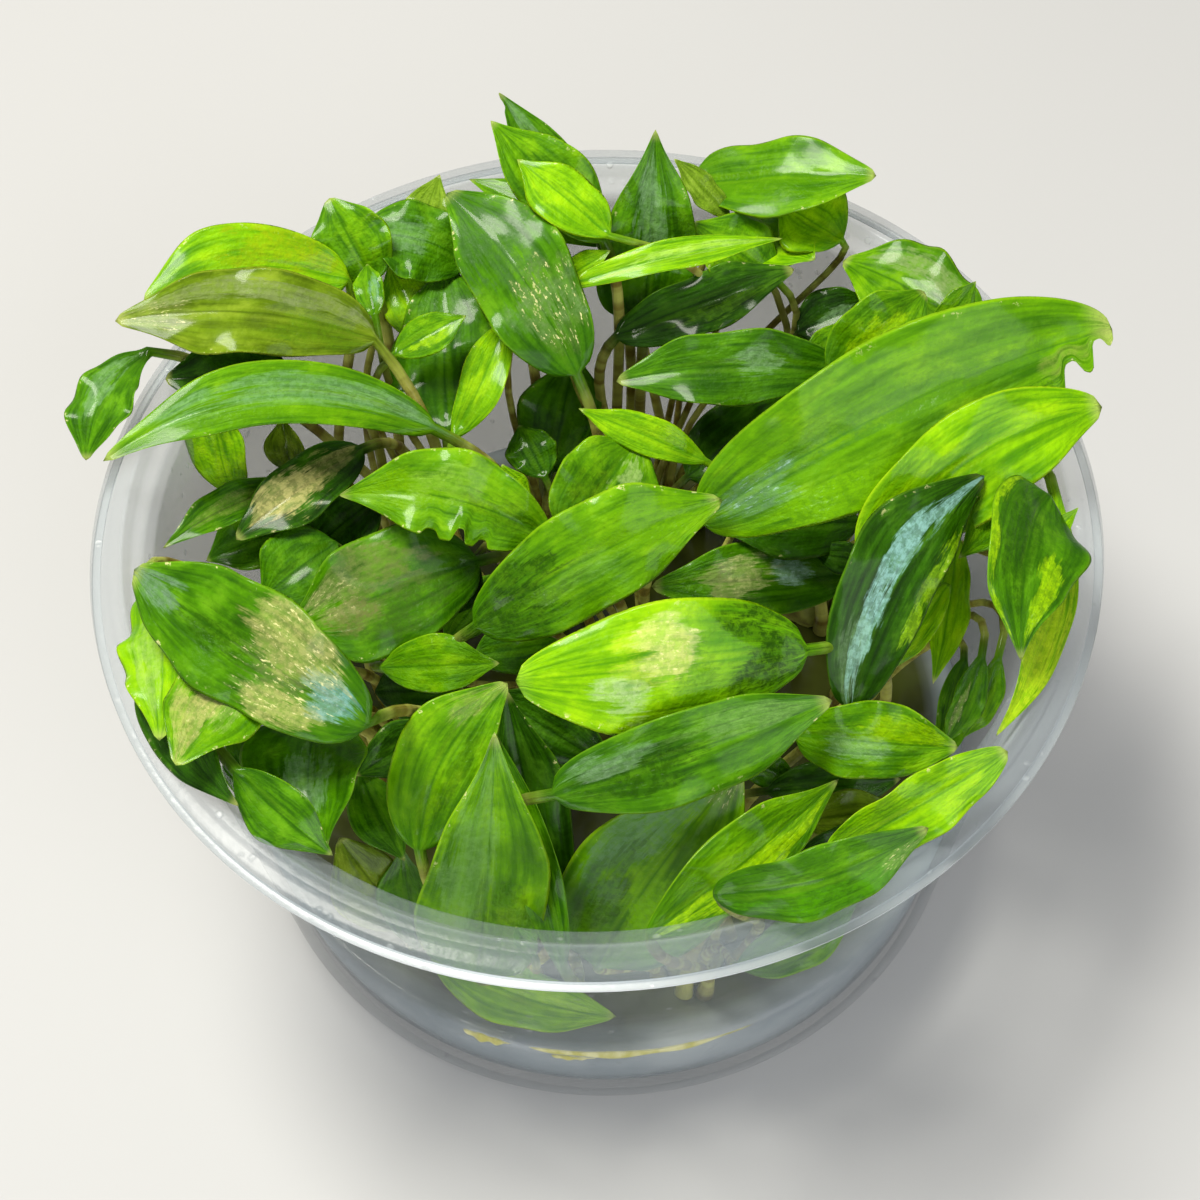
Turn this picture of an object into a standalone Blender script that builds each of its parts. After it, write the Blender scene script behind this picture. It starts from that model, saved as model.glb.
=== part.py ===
"""Tissue culture Cryptocoryne wendtii: small plantlets rooted in gel in an open plastic cup.

The frame stands on the cup's base: the origin is the centre of the base's underside, +Z is up,
and -Y is the front, the side that the cup is looked at from. Lengths are in millimetres until
a mesh is made.
"""

from __future__ import annotations

import itertools
import math
from dataclasses import dataclass
from enum import Enum

import bmesh
import bpy
from mathutils import Vector
from mathutils.bvhtree import BVHTree
from mathutils.kdtree import KDTree

MILLIMETRE = 0.001

# Cup
RIM_RADIUS = 50.0
RIM_TOP = 53.4
RIM_INNER_RADIUS = 46.6
WALL_RADIUS_AT_RIM = 45.0
BASE_RADIUS = 40.1
WALL = 0.9
FLOOR = 1.0
FLOOR_FILLET = 1.2
SHOULDER_HEIGHT = 50.6
LEDGE_DROP = 0.6
SKIRT_DROP = 2.6
SKIRT = 0.9
CUP_SEGMENTS = 48

# Gel
GEL_TOP = 13.0
GEL_FILLET = 1.6
GEL_SEGMENTS = 32
POCKET_MARGIN = 3.0
GAP = 0.3

# Crowns, the short stems that the leaves grow from
CROWN_SIDES = 8
CROWN_FOOT = 10.3
CROWN_LEVELS = ((CROWN_FOOT, 2.4), (13.8, 3.2), (15.8, 2.9), (17.4, 1.7))
CROWN_PLACES = (
    (-20.0, 18.0),
    (-6.0, 18.0),
    (8.0, 27.0),
    (26.0, -4.0),
    (4.0, 2.0),
    (-22.0, -4.0),
    (-12.0, -28.0),
    (8.0, -30.0),
    (24.0, 14.0),
)

# Leaves
STALK_RADIUS = 0.7
YOUNG_STALK_RADIUS = 0.45
STALK_FOOT_HEIGHT = 13.5
STALK_FOOT_RADIUS = 4.3
STALK_STATIONS = (0.03, 0.35, 0.7)
YOUNG_STALK_STATIONS = (0.08, 0.4, 0.7)
BLADE_SECTIONS = 7
YOUNG_BLADE_SECTIONS = 5
BLADE_HEEL = 0.2
RIB_ABOVE = 0.15
RIB_BELOW = 0.45

# Where the leaves look: towards the light and the viewer, and a little outwards
VIEWER = Vector((0.0, -134.0, 241.0))
FACING = Vector((0.0, -0.5, 0.86))
SPLAY = 0.3
LIFT_STEP = 0.4
MOST_LIFT = 8.0

# How a stalk may bend round its neighbours, in the order in which the ways are tried
FOOT_TURNS = (0, 35, -35, 70, -70, 105, -105, 140, -140, 180)
SWAYS = (0.0, 2.5, -2.5, 5.0, -5.0, 8.0, -8.0, 11.0, -11.0)
STALK_RISE = 0.45
HANDLES = (0.35, 0.2, 0.55)
DROPS = (0.0, 0.4, 0.75)
CHECKS_PER_SECTION = 10
MOST_WAYS = 40
WELL_HIDDEN = 3


class Tone(Enum):
    """Leaf colours: linear red, green and blue."""

    BRIGHT = (0.26, 0.48, 0.012)
    FRESH = (0.12, 0.34, 0.012)
    MID = (0.055, 0.22, 0.012)
    DARK = (0.016, 0.075, 0.010)
    OLIVE = (0.11, 0.17, 0.018)
    PALE = (0.22, 0.34, 0.10)


class Form(Enum):
    """Blade outlines: where the widest place lies, and how full the ends are."""

    LANCE = (0.9, 0.7)
    OVATE = (0.62, 0.65)
    OBLONG = (0.95, 0.45)
    SPOON = (1.35, 0.6)


@dataclass(frozen=True)
class Leaf:
    """One leaf: where its blade starts and ends, how wide it is and how it curves.

    arch is how far the blade's middle rises above the straight line from base to tip, bend is
    how far it swings to the right of it, and fold is how far each edge rises above the midrib,
    as a part of the half width. A young leaf is one piece with its crown.
    """

    plant: int
    base: tuple[float, float, float]
    tip: tuple[float, float, float]
    width: float
    tone: Tone = Tone.MID
    arch: float = 1.0
    bend: float = 0.0
    fold: float = 0.1
    form: Form = Form.LANCE
    young: bool = False

    @property
    def stalk_radius(self):
        """Half the stalk's thickness."""
        return YOUNG_STALK_RADIUS if self.young else STALK_RADIUS

    @property
    def stations(self):
        """Where the stalk's rings are, as parts of its length."""
        return YOUNG_STALK_STATIONS if self.young else STALK_STATIONS


def young(*values, **named) -> Leaf:
    """A small leaf that is one piece with its crown."""
    return Leaf(*values, young=True, **named)


B, F, M, D, O, P = Tone.BRIGHT, Tone.FRESH, Tone.MID, Tone.DARK, Tone.OLIVE, Tone.PALE
OVATE, OBLONG, SPOON = Form.OVATE, Form.OBLONG, Form.SPOON

# Blades from the lowest to the highest. Each lies over those before it.
LEAVES = (
    young(7, (-19.0, -31.8, 22.0), (-0.5, -38.9, 19.5), 4.8, B, arch=0.5, bend=1.2),
    young(8, (12.0, -36.6, 25.0), (24.5, -32.0, 31.0), 4.0, M, arch=0.5, bend=0.6),
    young(3, (17.9, 40.9, 48.6), (25.1, 32.9, 51.4), 5.5, D, arch=0.5),
    young(9, (23.5, 30.0, 43.0), (31.5, 32.5, 45.0), 4.0, D, arch=0.5),
    young(9, (24.5, 24.0, 45.0), (31.5, 26.0, 49.0), 2.5, O, arch=0.5),
    young(4, (37.0, -9.5, 37.0), (32.5, -22.0, 36.0), 3.0, D, arch=0.5),
    young(8, (0.0, -20.0, 38.0), (-11.5, -13.0, 42.0), 5.0, M, arch=1.0),
    young(2, (-4.5, 16.5, 38.0), (-1.0, 28.0, 44.0), 5.0, D, arch=0.5),
    young(6, (-31.0, 8.5, 42.0), (-40.5, 4.5, 42.0), 5.0, D, arch=1.0),
    young(1, (-23.0, 12.0, 41.0), (-30.5, 4.5, 41.0), 5.5, O, arch=1.0),
    young(1, (-31.5, 14.5, 43.0), (-32.0, 17.5, 49.0), 3.0, M, arch=0.5),
    young(9, (30.3, 26.5, 43.0), (23.0, 31.5, 45.0), 5.0, D),
    young(3, (21.0, 35.5, 46.0), (12.5, 39.5, 51.0), 6.0, M, arch=0.5),
    young(1, (-16.0, 25.0, 50.0), (-20.5, 34.0, 53.0), 4.5, F, arch=0.5),
    young(5, (-16.0, -3.0, 36.0), (-10.0, 2.5, 40.0), 3.5, D, arch=0.5),
    Leaf(4, (26.0, 1.0, 38.0), (5.5, -1.0, 41.0), 6.0, D, arch=2.0, form=OBLONG),
    young(9, (27.5, 5.0, 42.0), (12.5, 3.5, 44.0), 5.0, D, arch=1.5),
    young(4, (28.0, 0.0, 42.0), (22.5, 2.0, 41.0), 2.5, D, arch=0.5),
    young(6, (-23.0, -10.0, 38.0), (-14.0, -11.5, 40.0), 4.5, O),
    young(6, (-24.0, -22.0, 42.0), (-20.0, -30.5, 40.0), 4.0, O),
    young(7, (-17.0, -18.0, 44.0), (-24.5, -22.5, 43.0), 3.5, P, arch=0.5),
    young(7, (-20.5, -32.0, 29.0), (-26.5, -27.0, 39.0), 5.5, D, form=OBLONG),
    young(6, (-36.4, -17.2, 44.0), (-30.6, -24.6, 42.0), 5.0, D),
    young(6, (-26.5, 3.0, 46.0), (-34.0, -2.5, 45.0), 6.0, O, form=OBLONG),
    young(5, (-12.5, 0.0, 46.0), (-16.0, -6.5, 45.0), 3.5, M, arch=0.5),
    young(6, (-12.5, -10.0, 44.0), (-4.0, -9.0, 44.0), 4.0, D, arch=0.5),
    young(8, (12.0, -23.0, 44.0), (18.5, -25.0, 42.0), 2.5, D, arch=0.5),
    young(8, (15.5, -25.5, 41.0), (28.5, -24.5, 40.0), 4.5, O),
    young(8, (18.5, -29.0, 41.0), (27.5, -29.0, 43.0), 3.5, D, arch=0.5),
    young(8, (17.5, -34.0, 42.0), (28.0, -31.0, 42.0), 3.5, O),
    young(5, (10.0, 10.5, 44.0), (22.5, 21.0, 44.0), 6.5, D, arch=1.5, form=OBLONG),
    young(9, (23.5, 23.0, 47.0), (30.5, 27.0, 47.0), 2.5, P, arch=0.5),
    young(2, (-5.0, 13.0, 42.0), (-7.5, 18.5, 44.0), 3.0, M, arch=0.5),
    young(4, (37.5, -13.5, 44.0), (34.0, -18.5, 36.0), 4.0, O),
    young(4, (39.5, -12.5, 42.0), (36.0, -17.5, 35.0), 3.0, M),
    Leaf(9, (45.3, -2.5, 54.0), (36.0, -27.5, 53.0), 4.5, B, bend=-2.0, fold=0.2),
    young(6, (-38.0, 13.0, 41.0), (-39.0, 18.0, 51.0), 5.0, F, form=SPOON),
    Leaf(1, (-31.0, 10.5, 46.0), (-43.5, 1.5, 49.0), 3.5, O, arch=1.5, bend=0.5),
    Leaf(1, (-24.0, 14.0, 47.0), (-36.5, 3.5, 47.0), 5.5, D, arch=1.5, form=OBLONG),
    Leaf(1, (-30.5, 19.0, 53.0), (-43.0, 18.0, 55.5), 6.0, O, form=OBLONG),
    Leaf(5, (-12.0, -1.5, 48.0), (-31.0, -8.0, 47.0), 10.0, P, arch=2.0, form=OBLONG),
    Leaf(6, (-42.8, -13.5, 54.0), (-33.5, -32.0, 55.5), 4.5, D, bend=1.5),
    Leaf(6, (-43.3, -6.0, 54.5), (-41.0, -25.0, 56.0), 6.5, B, arch=1.5, bend=-1.7, form=OBLONG),
    Leaf(6, (-33.0, -13.5, 50.0), (-39.5, -27.0, 55.0), 7.5, F, arch=1.5, form=OBLONG),
    Leaf(6, (-34.5, -26.0, 51.0), (-26.0, -33.5, 48.0), 4.5, D),
    Leaf(6, (-27.5, -20.0, 49.0), (-26.5, -33.0, 48.0), 9.5, F, arch=1.5, bend=0.8, form=OVATE),
    Leaf(7, (-22.0, -24.0, 55.5), (-43.7, -7.9, 59.0), 11.0, D, arch=2.5, form=OBLONG),
    young(7, (-20.0, -33.5, 27.0), (-20.5, -28.0, 38.0), 4.5, M, arch=0.5),
    young(7, (-8.0, -40.0, 38.0), (-9.5, -38.0, 40.0), 1.5, B, arch=0.3),
    Leaf(7, (-5.8, -34.0, 31.0), (-9.5, -16.5, 48.0), 6.0, D),
    Leaf(7, (-5.5, -39.5, 34.0), (-10.5, -22.5, 50.0), 3.5, M, bend=0.5, fold=0.4),
    Leaf(7, (-14.5, -34.3, 22.0), (-10.5, -23.5, 51.0), 10.0, M, arch=1.5, bend=0.5, form=OVATE),
    Leaf(7, (-18.3, -30.8, 43.0), (-9.0, -19.0, 53.0), 7.0, M, bend=-2.0, form=OBLONG),
    Leaf(6, (-21.5, -11.5, 45.0), (-10.0, -13.0, 47.0), 4.5, M),
    Leaf(5, (-4.5, -2.0, 52.0), (-25.0, 2.5, 55.0), 7.5, B, arch=1.5, bend=1.8),
    Leaf(5, (-2.5, -0.5, 50.0), (5.0, 10.5, 51.0), 8.5, F, form=OBLONG),
    young(5, (-7.5, 4.0, 48.0), (-9.0, 7.5, 52.0), 3.0, B, arch=0.3),
    Leaf(6, (-12.0, -10.5, 50.0), (12.5, -2.0, 57.0), 8.5, F, arch=2.0, bend=-0.8, form=OBLONG),
    Leaf(4, (19.0, -19.0, 56.0), (-8.0, -22.5, 59.0), 10.5, B, arch=2.5, fold=-0.1, form=OBLONG),
    young(9, (42.5, -7.0, 52.5), (46.8, -4.5, 56.0), 1.5, F, arch=0.3),
    Leaf(9, (44.0, -3.0, 55.5), (39.3, -20.0, 54.0), 9.5, F, arch=2.0, bend=2.0, form=OVATE),
    young(9, (42.0, -1.0, 56.5), (34.7, -9.0, 55.0), 3.5, B),
    Leaf(5, (10.5, -1.5, 53.0), (52.0, 12.5, 62.0), 12.0, M, arch=3.0, bend=-1.9, form=OBLONG),
    Leaf(4, (26.0, -8.0, 54.0), (50.0, 4.5, 60.0), 8.5, B, arch=2.0, bend=-2.9, form=OBLONG),
    Leaf(8, (23.5, -20.5, 48.0), (38.0, -1.0, 57.0), 9.0, D, arch=2.0, bend=-3.2, form=OBLONG),
    young(4, (33.7, -10.3, 52.5), (27.3, -18.5, 50.5), 3.0, B, arch=0.5),
    young(4, (36.0, -2.5, 49.0), (32.0, -17.5, 46.0), 4.0, F),
    Leaf(8, (18.0, -24.5, 50.0), (32.5, -28.0, 52.0), 6.0, F, arch=1.5, form=OBLONG),
    Leaf(8, (3.0, -41.5, 44.0), (21.5, -29.0, 49.0), 5.5, B, arch=1.5),
    Leaf(8, (9.2, -41.2, 51.4), (27.9, -38.7, 56.9), 7.3, F, arch=2.5, bend=0.8, form=OBLONG),
    Leaf(8, (19.6, -38.3, 52.0), (36.0, -31.5, 57.0), 5.0, B, form=OBLONG),
    Leaf(8, (-2.0, -35.0, 24.0), (12.0, -29.5, 53.0), 12.8, M, arch=2.0, bend=-1.0, form=OBLONG),
    Leaf(7, (-5.0, -29.5, 50.0), (21.0, -24.0, 55.0), 7.0, D, arch=1.5, form=OBLONG),
    Leaf(3, (40.5, 20.0, 53.0), (28.0, 32.0, 52.0), 8.5, M, bend=0.5, form=OBLONG),
    young(3, (28.0, 34.0, 53.0), (21.5, 38.5, 54.5), 6.5, O, arch=0.5),
    Leaf(3, (12.5, 41.5, 55.0), (31.5, 36.5, 60.0), 7.0, F, form=OBLONG),
    young(3, (2.5, 34.5, 54.0), (-11.5, 42.5, 56.5), 3.5, D),
    Leaf(3, (2.0, 34.0, 56.0), (-7.5, 43.5, 68.0), 6.0, F, arch=0.5),
    Leaf(3, (2.5, 31.5, 58.0), (-8.5, 41.5, 66.0), 6.5, P, arch=0.5),
    young(3, (3.0, 34.0, 56.0), (-6.0, 41.5, 60.0), 4.5, B, arch=0.5),
    Leaf(3, (6.5, 29.0, 47.0), (8.5, 39.0, 66.0), 8.0, M, form=OVATE),
    young(3, (16.0, 37.5, 54.0), (10.5, 40.5, 60.0), 2.5, P, arch=0.3),
    Leaf(3, (3.5, 25.0, 50.0), (22.5, 29.5, 54.0), 5.0, M, form=OBLONG),
    Leaf(9, (26.0, 17.0, 52.0), (3.0, 16.5, 53.0), 6.0, D, arch=1.5, bend=0.8, form=OBLONG),
    young(5, (11.5, 8.0, 50.0), (-1.0, 12.5, 54.0), 3.0, B, arch=0.5),
    Leaf(9, (25.0, 14.0, 55.0), (35.0, 22.0, 58.0), 6.5, B, form=OBLONG),
    young(9, (36.0, 19.5, 54.0), (40.5, 23.5, 57.5), 2.5, B, arch=0.3),
    young(3, (43.5, 18.0, 57.0), (42.5, 20.0, 58.5), 2.0, O, arch=0.3),
    young(2, (-3.0, 27.0, 56.0), (3.2, 28.6, 59.5), 2.5, B, arch=0.3),
    Leaf(3, (-1.0, 25.5, 58.0), (21.0, 28.5, 60.0), 4.0, B, bend=-0.4),
    Leaf(2, (-15.0, 17.0, 46.0), (-14.5, 36.0, 52.0), 9.0, M, arch=1.5, form=OVATE),
    Leaf(2, (-14.0, 15.5, 47.0), (-8.0, 26.5, 53.0), 4.0, B, bend=0.6),
    Leaf(2, (-1.0, 17.0, 54.0), (-13.5, 35.5, 62.0), 9.0, P, arch=2.0, bend=1.0, form=OBLONG),
    young(1, (-18.0, 36.0, 52.0), (-14.5, 42.0, 58.0), 4.0, B, arch=0.5),
    Leaf(2, (-12.0, 34.5, 52.0), (-23.5, 36.5, 55.0), 6.5, M, bend=1.0, form=OBLONG),
    young(1, (-19.5, 20.5, 54.5), (-12.0, 23.0, 57.0), 3.5, M, arch=0.5),
    Leaf(1, (-22.0, 31.0, 54.0), (-26.0, 37.5, 60.0), 6.0, P, form=OBLONG),
    Leaf(1, (-24.5, 29.5, 56.0), (-45.0, 25.5, 59.0), 7.5, B, arch=1.5, bend=2.0, form=OBLONG),
    young(2, (-21.4, 23.4, 57.3), (-22.2, 30.0, 57.9), 2.5, B, arch=0.5),
    Leaf(1, (-44.5, 20.5, 57.0), (-50.5, 8.5, 55.0), 6.0, D, arch=1.5, bend=1.0, form=SPOON),
    Leaf(1, (-21.5, 20.5, 57.0), (-47.0, 20.5, 62.0), 7.5, P, arch=1.5, bend=1.5, form=OBLONG),
    Leaf(2, (-16.0, 12.5, 52.0), (-48.0, 6.0, 58.0), 5.5, F, arch=2.0, bend=4.5, form=OBLONG),
)


def mix(a, b, t):
    """The number at t between a and b."""
    return a + (b - a) * t


def material(name, colour, roughness, alpha=1.0, transmission=0.0):
    """A plain finish; see-through where alpha is below 1."""
    made = bpy.data.materials.new(name)
    made.use_nodes = True
    made.diffuse_color = (*colour, alpha)
    surface = made.node_tree.nodes["Principled BSDF"]
    surface.inputs["Base Color"].default_value = (*colour, 1.0)
    surface.inputs["Roughness"].default_value = roughness
    surface.inputs["Metallic"].default_value = 0.0
    surface.inputs["Alpha"].default_value = alpha
    surface.inputs["Transmission Weight"].default_value = transmission
    return made


def add_object(name, points, faces, finish, smooth_angle=30.0):
    """A named object from points in millimetres, its faces turned outwards."""
    mesh = bpy.data.meshes.new(name)
    work = bmesh.new()
    corners = [work.verts.new(Vector(point) * MILLIMETRE) for point in points]
    for face in faces:
        work.faces.new([corners[index] for index in face])
    bmesh.ops.recalc_face_normals(work, faces=work.faces)
    work.to_mesh(mesh)
    work.free()
    mesh.shade_smooth()
    mesh.set_sharp_from_angle(angle=math.radians(smooth_angle))
    mesh.materials.append(finish)
    made = bpy.data.objects.new(name, mesh)
    bpy.context.scene.collection.objects.link(made)
    return made


def turned(profile, segments):
    """Points and faces of a profile of (radius, height) turned about Z.

    The profile starts and ends on the axis.
    """
    points = [(0.0, 0.0, profile[0][1]), (0.0, 0.0, profile[-1][1])]
    rings = []
    for radius, height in profile[1:-1]:
        rings.append(range(len(points), len(points) + segments))
        for step in range(segments):
            angle = math.tau * step / segments
            points.append((radius * math.cos(angle), radius * math.sin(angle), height))
    faces = []
    for step in range(segments):
        after = (step + 1) % segments
        faces.append((0, rings[0][step], rings[0][after]))
        for low, high in zip(rings, rings[1:]):
            faces.append((low[step], high[step], high[after], low[after]))
        faces.append((1, rings[-1][after], rings[-1][step]))
    return points, faces


def inner_radius(height):
    """Radius of the wall's inner face at a height below the rim's shoulder."""
    share = height / SHOULDER_HEIGHT
    return mix(BASE_RADIUS, WALL_RADIUS_AT_RIM, share) - WALL


def cup_profile():
    """The cup's section: up the inside, over the stepped rim and down the outside."""
    ledge = RIM_TOP - LEDGE_DROP
    skirt_foot = RIM_TOP - SKIRT_DROP
    under_rim = RIM_TOP - 1.4
    inside = (
        (0.0, FLOOR),
        (BASE_RADIUS - WALL - FLOOR_FILLET, FLOOR),
        (inner_radius(FLOOR), FLOOR + FLOOR_FILLET),
        (inner_radius(SHOULDER_HEIGHT), SHOULDER_HEIGHT),
        (RIM_INNER_RADIUS - 0.9, SHOULDER_HEIGHT + 1.2),
        (RIM_INNER_RADIUS, RIM_TOP),
    )
    rim = (
        (RIM_INNER_RADIUS + 1.2, RIM_TOP),
        (RIM_INNER_RADIUS + 1.6, ledge + 0.1),
        (RIM_RADIUS - 0.7, ledge - 0.1),
        (RIM_RADIUS, ledge - 0.6),
        (RIM_RADIUS, skirt_foot),
        (RIM_RADIUS - SKIRT, skirt_foot),
        (RIM_RADIUS - SKIRT - 0.1, under_rim - 0.1),
        (RIM_INNER_RADIUS + 0.6, under_rim),
    )
    outside = (
        (WALL_RADIUS_AT_RIM, SHOULDER_HEIGHT - 0.2),
        (BASE_RADIUS + 0.1, 0.9),
        (BASE_RADIUS - 0.8, 0.0),
        (0.0, 0.0),
    )
    return inside + rim + outside


def add_cup():
    """The open cup, which is also what the leaves keep clear of."""
    finish = material("cup", (0.62, 0.66, 0.68), 0.35, alpha=0.35, transmission=0.6)
    points, faces = turned(cup_profile(), CUP_SEGMENTS)
    add_object("cup", points, faces, finish)
    return points, faces


def add_gel():
    """The gel fills the cup's foot, with a shallow pocket where each crown stands."""
    finish = material("gel", (0.62, 0.66, 0.64), 0.15, alpha=0.6, transmission=0.6)
    bottom = FLOOR + GAP
    shoulder = bottom + GEL_FILLET
    profile = (
        (0.0, bottom),
        (inner_radius(FLOOR) - GEL_FILLET - GAP, bottom),
        (inner_radius(shoulder) - 1.3 * GAP, shoulder),
        (inner_radius(GEL_TOP) - GAP, GEL_TOP),
        (0.0, GEL_TOP),
    )
    gel = add_object("gel", *turned(profile, GEL_SEGMENTS), finish)
    for number, (x, y) in enumerate(CROWN_PLACES, start=1):
        widest = max(radius for _, radius in CROWN_LEVELS) + GAP
        pocket = (
            (0.0, CROWN_FOOT - GAP),
            (widest, CROWN_FOOT - GAP),
            (widest, GEL_TOP + POCKET_MARGIN),
            (0.0, GEL_TOP + POCKET_MARGIN),
        )
        points, faces = turned(pocket, CROWN_SIDES)
        cutter = add_object(f"pocket_{number}", points, faces, finish)
        cutter.location = Vector((x, y, 0.0)) * MILLIMETRE
        cutter.hide_render = True
        cutter.display_type = "WIRE"
        cut = gel.modifiers.new(f"pocket_{number}", "BOOLEAN")
        cut.operation = "DIFFERENCE"
        cut.solver = "EXACT"
        cut.object = cutter


@dataclass(frozen=True)
class Frame:
    """A point on a leaf with the directions along it, to its right and out of its face."""

    point: Vector
    along: Vector
    side: Vector
    out: Vector

    def at(self, right, up):
        """The point this far to the right and out of the face."""
        return self.point + self.side * right + self.out * up

    def moved(self, point, along):
        """This frame carried to another point without a twist."""
        turn = self.along.rotation_difference(along)
        return Frame(point, along, turn @ self.side, turn @ self.out)


def facing_frame(point, along):
    """A frame whose face looks towards the light, splayed outwards."""
    outwards = Vector((point.x, point.y, 0.0)) * (SPLAY / RIM_RADIUS)
    side = along.cross(FACING + outwards).normalized()
    return Frame(point, along, side, side.cross(along))


class Bezier:
    """A curve through its first and last control points."""

    def __init__(self, *controls):
        self.controls = controls

    def point(self, t):
        """The curve's point at t, from 0 to 1."""
        row = self.controls
        while len(row) > 1:
            row = [a.lerp(b, t) for a, b in zip(row, row[1:])]
        return row[0]

    def direction(self, t):
        """The direction in which the curve runs at t."""
        row = [b - a for a, b in zip(self.controls, self.controls[1:])]
        return Bezier(*row).point(t).normalized()


def spine(leaf, lift):
    """The blade's centre line, moved towards the viewer by the lift."""
    base, tip = Vector(leaf.base), Vector(leaf.tip)
    raised = (VIEWER - (base + tip) / 2).normalized() * lift
    base, tip = base + raised, tip + raised
    middle = facing_frame((base + tip) / 2, (tip - base).normalized())
    return Bezier(base, middle.at(2 * leaf.bend, 2 * leaf.arch), tip)


def half_width(leaf, t):
    """Half the blade's width at t, from its base at 0 to its tip at 1."""
    skew, fullness = leaf.form.value
    return leaf.width / 2 * math.sin(math.pi * t**skew) ** fullness


def stalk_ring(frame, leaf):
    """Four points round a stalk."""
    size = leaf.stalk_radius
    return [frame.at(*corner) for corner in ((size, 0), (0, size), (-size, 0), (0, -size))]


def blade_rings(leaf, line):
    """Rings of four points: right edge, face, left edge and back."""
    sections = YOUNG_BLADE_SECTIONS if leaf.young else BLADE_SECTIONS
    rings = [stalk_ring(facing_frame(line.point(0.0), line.direction(0.0)), leaf)]
    for step in range(1, sections):
        t = step / sections
        frame = facing_frame(line.point(t), line.direction(t))
        half = half_width(leaf, t)
        rise = leaf.fold * half
        corners = (half, rise), (0.0, RIB_ABOVE), (-half, rise), (0.0, -RIB_BELOW)
        rings.append([frame.at(*corner) for corner in corners])
    return rings


def loft(rings):
    """Faces between rings of four point numbers."""
    return [
        (low[k], low[(k + 1) % 4], high[(k + 1) % 4], high[k])
        for low, high in zip(rings, rings[1:])
        for k in range(4)
    ]


def fan(ring, point):
    """Faces that close a ring of four point numbers at one point."""
    return [(ring[k], ring[(k + 1) % 4], point) for k in range(4)]


def closed_loft(rings, start, end):
    """Points and faces of a shape lofted through rings and closed at a point at each end."""
    points = [point for ring in rings for point in ring] + [start, end]
    numbers = [range(4 * n, 4 * n + 4) for n in range(len(rings))]
    last = len(points) - 1
    return points, loft(numbers) + fan(numbers[0], last - 1) + fan(numbers[-1], last)


def blade_mesh(leaf, line):
    """The blade alone, closed just behind its base."""
    start = line.point(0.0) - line.direction(0.0) * BLADE_HEEL
    return closed_loft(blade_rings(leaf, line), start, line.point(1.0))


def tree(points, faces):
    """A mesh as a tree that is quick to search."""
    return BVHTree.FromPolygons([tuple(point) for point in points], faces)


def clear(shape, other):
    """Whether two meshes, each given as points and faces, keep their gap."""
    own, theirs = tree(*shape), tree(*other)
    return not (
        own.overlap(theirs)
        or any(theirs.find_nearest(point, GAP)[0] for point in shape[0])
        or any(own.find_nearest(point, GAP)[0] for point in other[0])
    )


def settled(leaf, others):
    """The spine of a blade raised until it clears the shapes below it."""
    lift = 0.0
    while lift <= MOST_LIFT:
        line = spine(leaf, lift)
        shape = blade_mesh(leaf, line)
        if all(clear(shape, other) for other in others):
            return line, shape
        lift += LIFT_STEP
    raise ValueError(f"no room for {leaf}")


class Crown:
    """A short stem in the gel, and the young leaves that have grown from its sides."""

    def __init__(self, x, y):
        self.place = Vector((x, y, 0.0))
        self.points = []
        self.faces = []
        for height, radius in CROWN_LEVELS:
            for k in range(CROWN_SIDES):
                angle = math.tau * k / CROWN_SIDES
                corner = Vector((radius * math.cos(angle), radius * math.sin(angle), height))
                self.points.append(self.place + corner)
        for level in range(len(CROWN_LEVELS) - 1):
            low = level * CROWN_SIDES
            high = low + CROWN_SIDES
            for k in range(CROWN_SIDES):
                after = (k + 1) % CROWN_SIDES
                self.faces.append((low + k, high + k, high + after, low + after))
        self.free = self.faces[-CROWN_SIDES:]
        self.faces.append(tuple(range(CROWN_SIDES)))
        self.faces.append(tuple(range(len(self.points) - CROWN_SIDES, len(self.points))))

    def middle(self, face):
        """The middle of one of the crown's faces."""
        return sum((self.points[index] for index in face), Vector()) / len(face)

    def feet(self, leaf, towards):
        """Where a leaf's stalk may start, those nearest to its blade first."""
        angle = math.atan2(towards.y - self.place.y, towards.x - self.place.x)
        if not leaf.young:
            for turn in FOOT_TURNS:
                at = angle + math.radians(turn)
                side = Vector((math.cos(at), math.sin(at), 0.0)) * STALK_FOOT_RADIUS
                yield self.place + side + Vector((0.0, 0.0, STALK_FOOT_HEIGHT)), None
            return

        def turn_to(face):
            side = self.middle(face) - self.place
            return abs(math.remainder(math.atan2(side.y, side.x) - angle, math.tau))

        for face in sorted(self.free, key=turn_to):
            yield self.middle(face), face

    def grow(self, face, rings, tip):
        """Draw one side of the crown out through rings of points to a tip."""
        self.free.remove(face)
        self.faces.remove(face)
        numbers = [self.matched(face, rings[0])]
        for ring in rings:
            numbers.append(range(len(self.points), len(self.points) + 4))
            self.points.extend(ring)
        self.points.append(tip)
        self.faces += loft(numbers) + fan(numbers[-1], len(self.points) - 1)

    def matched(self, face, ring):
        """The corners of a side in the order that meets the ring's with the least twist."""
        start, end = self.middle(face), sum(ring, Vector()) / 4

        def twist(order):
            turned_by = 0.0
            for number, point in zip(order, ring):
                here = (self.points[number] - start).normalized()
                there = (point - end).normalized()
                turned_by += (here - there).length
            return turned_by

        return min((face[k:] + face[:k] for k in range(4)), key=twist)


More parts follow.
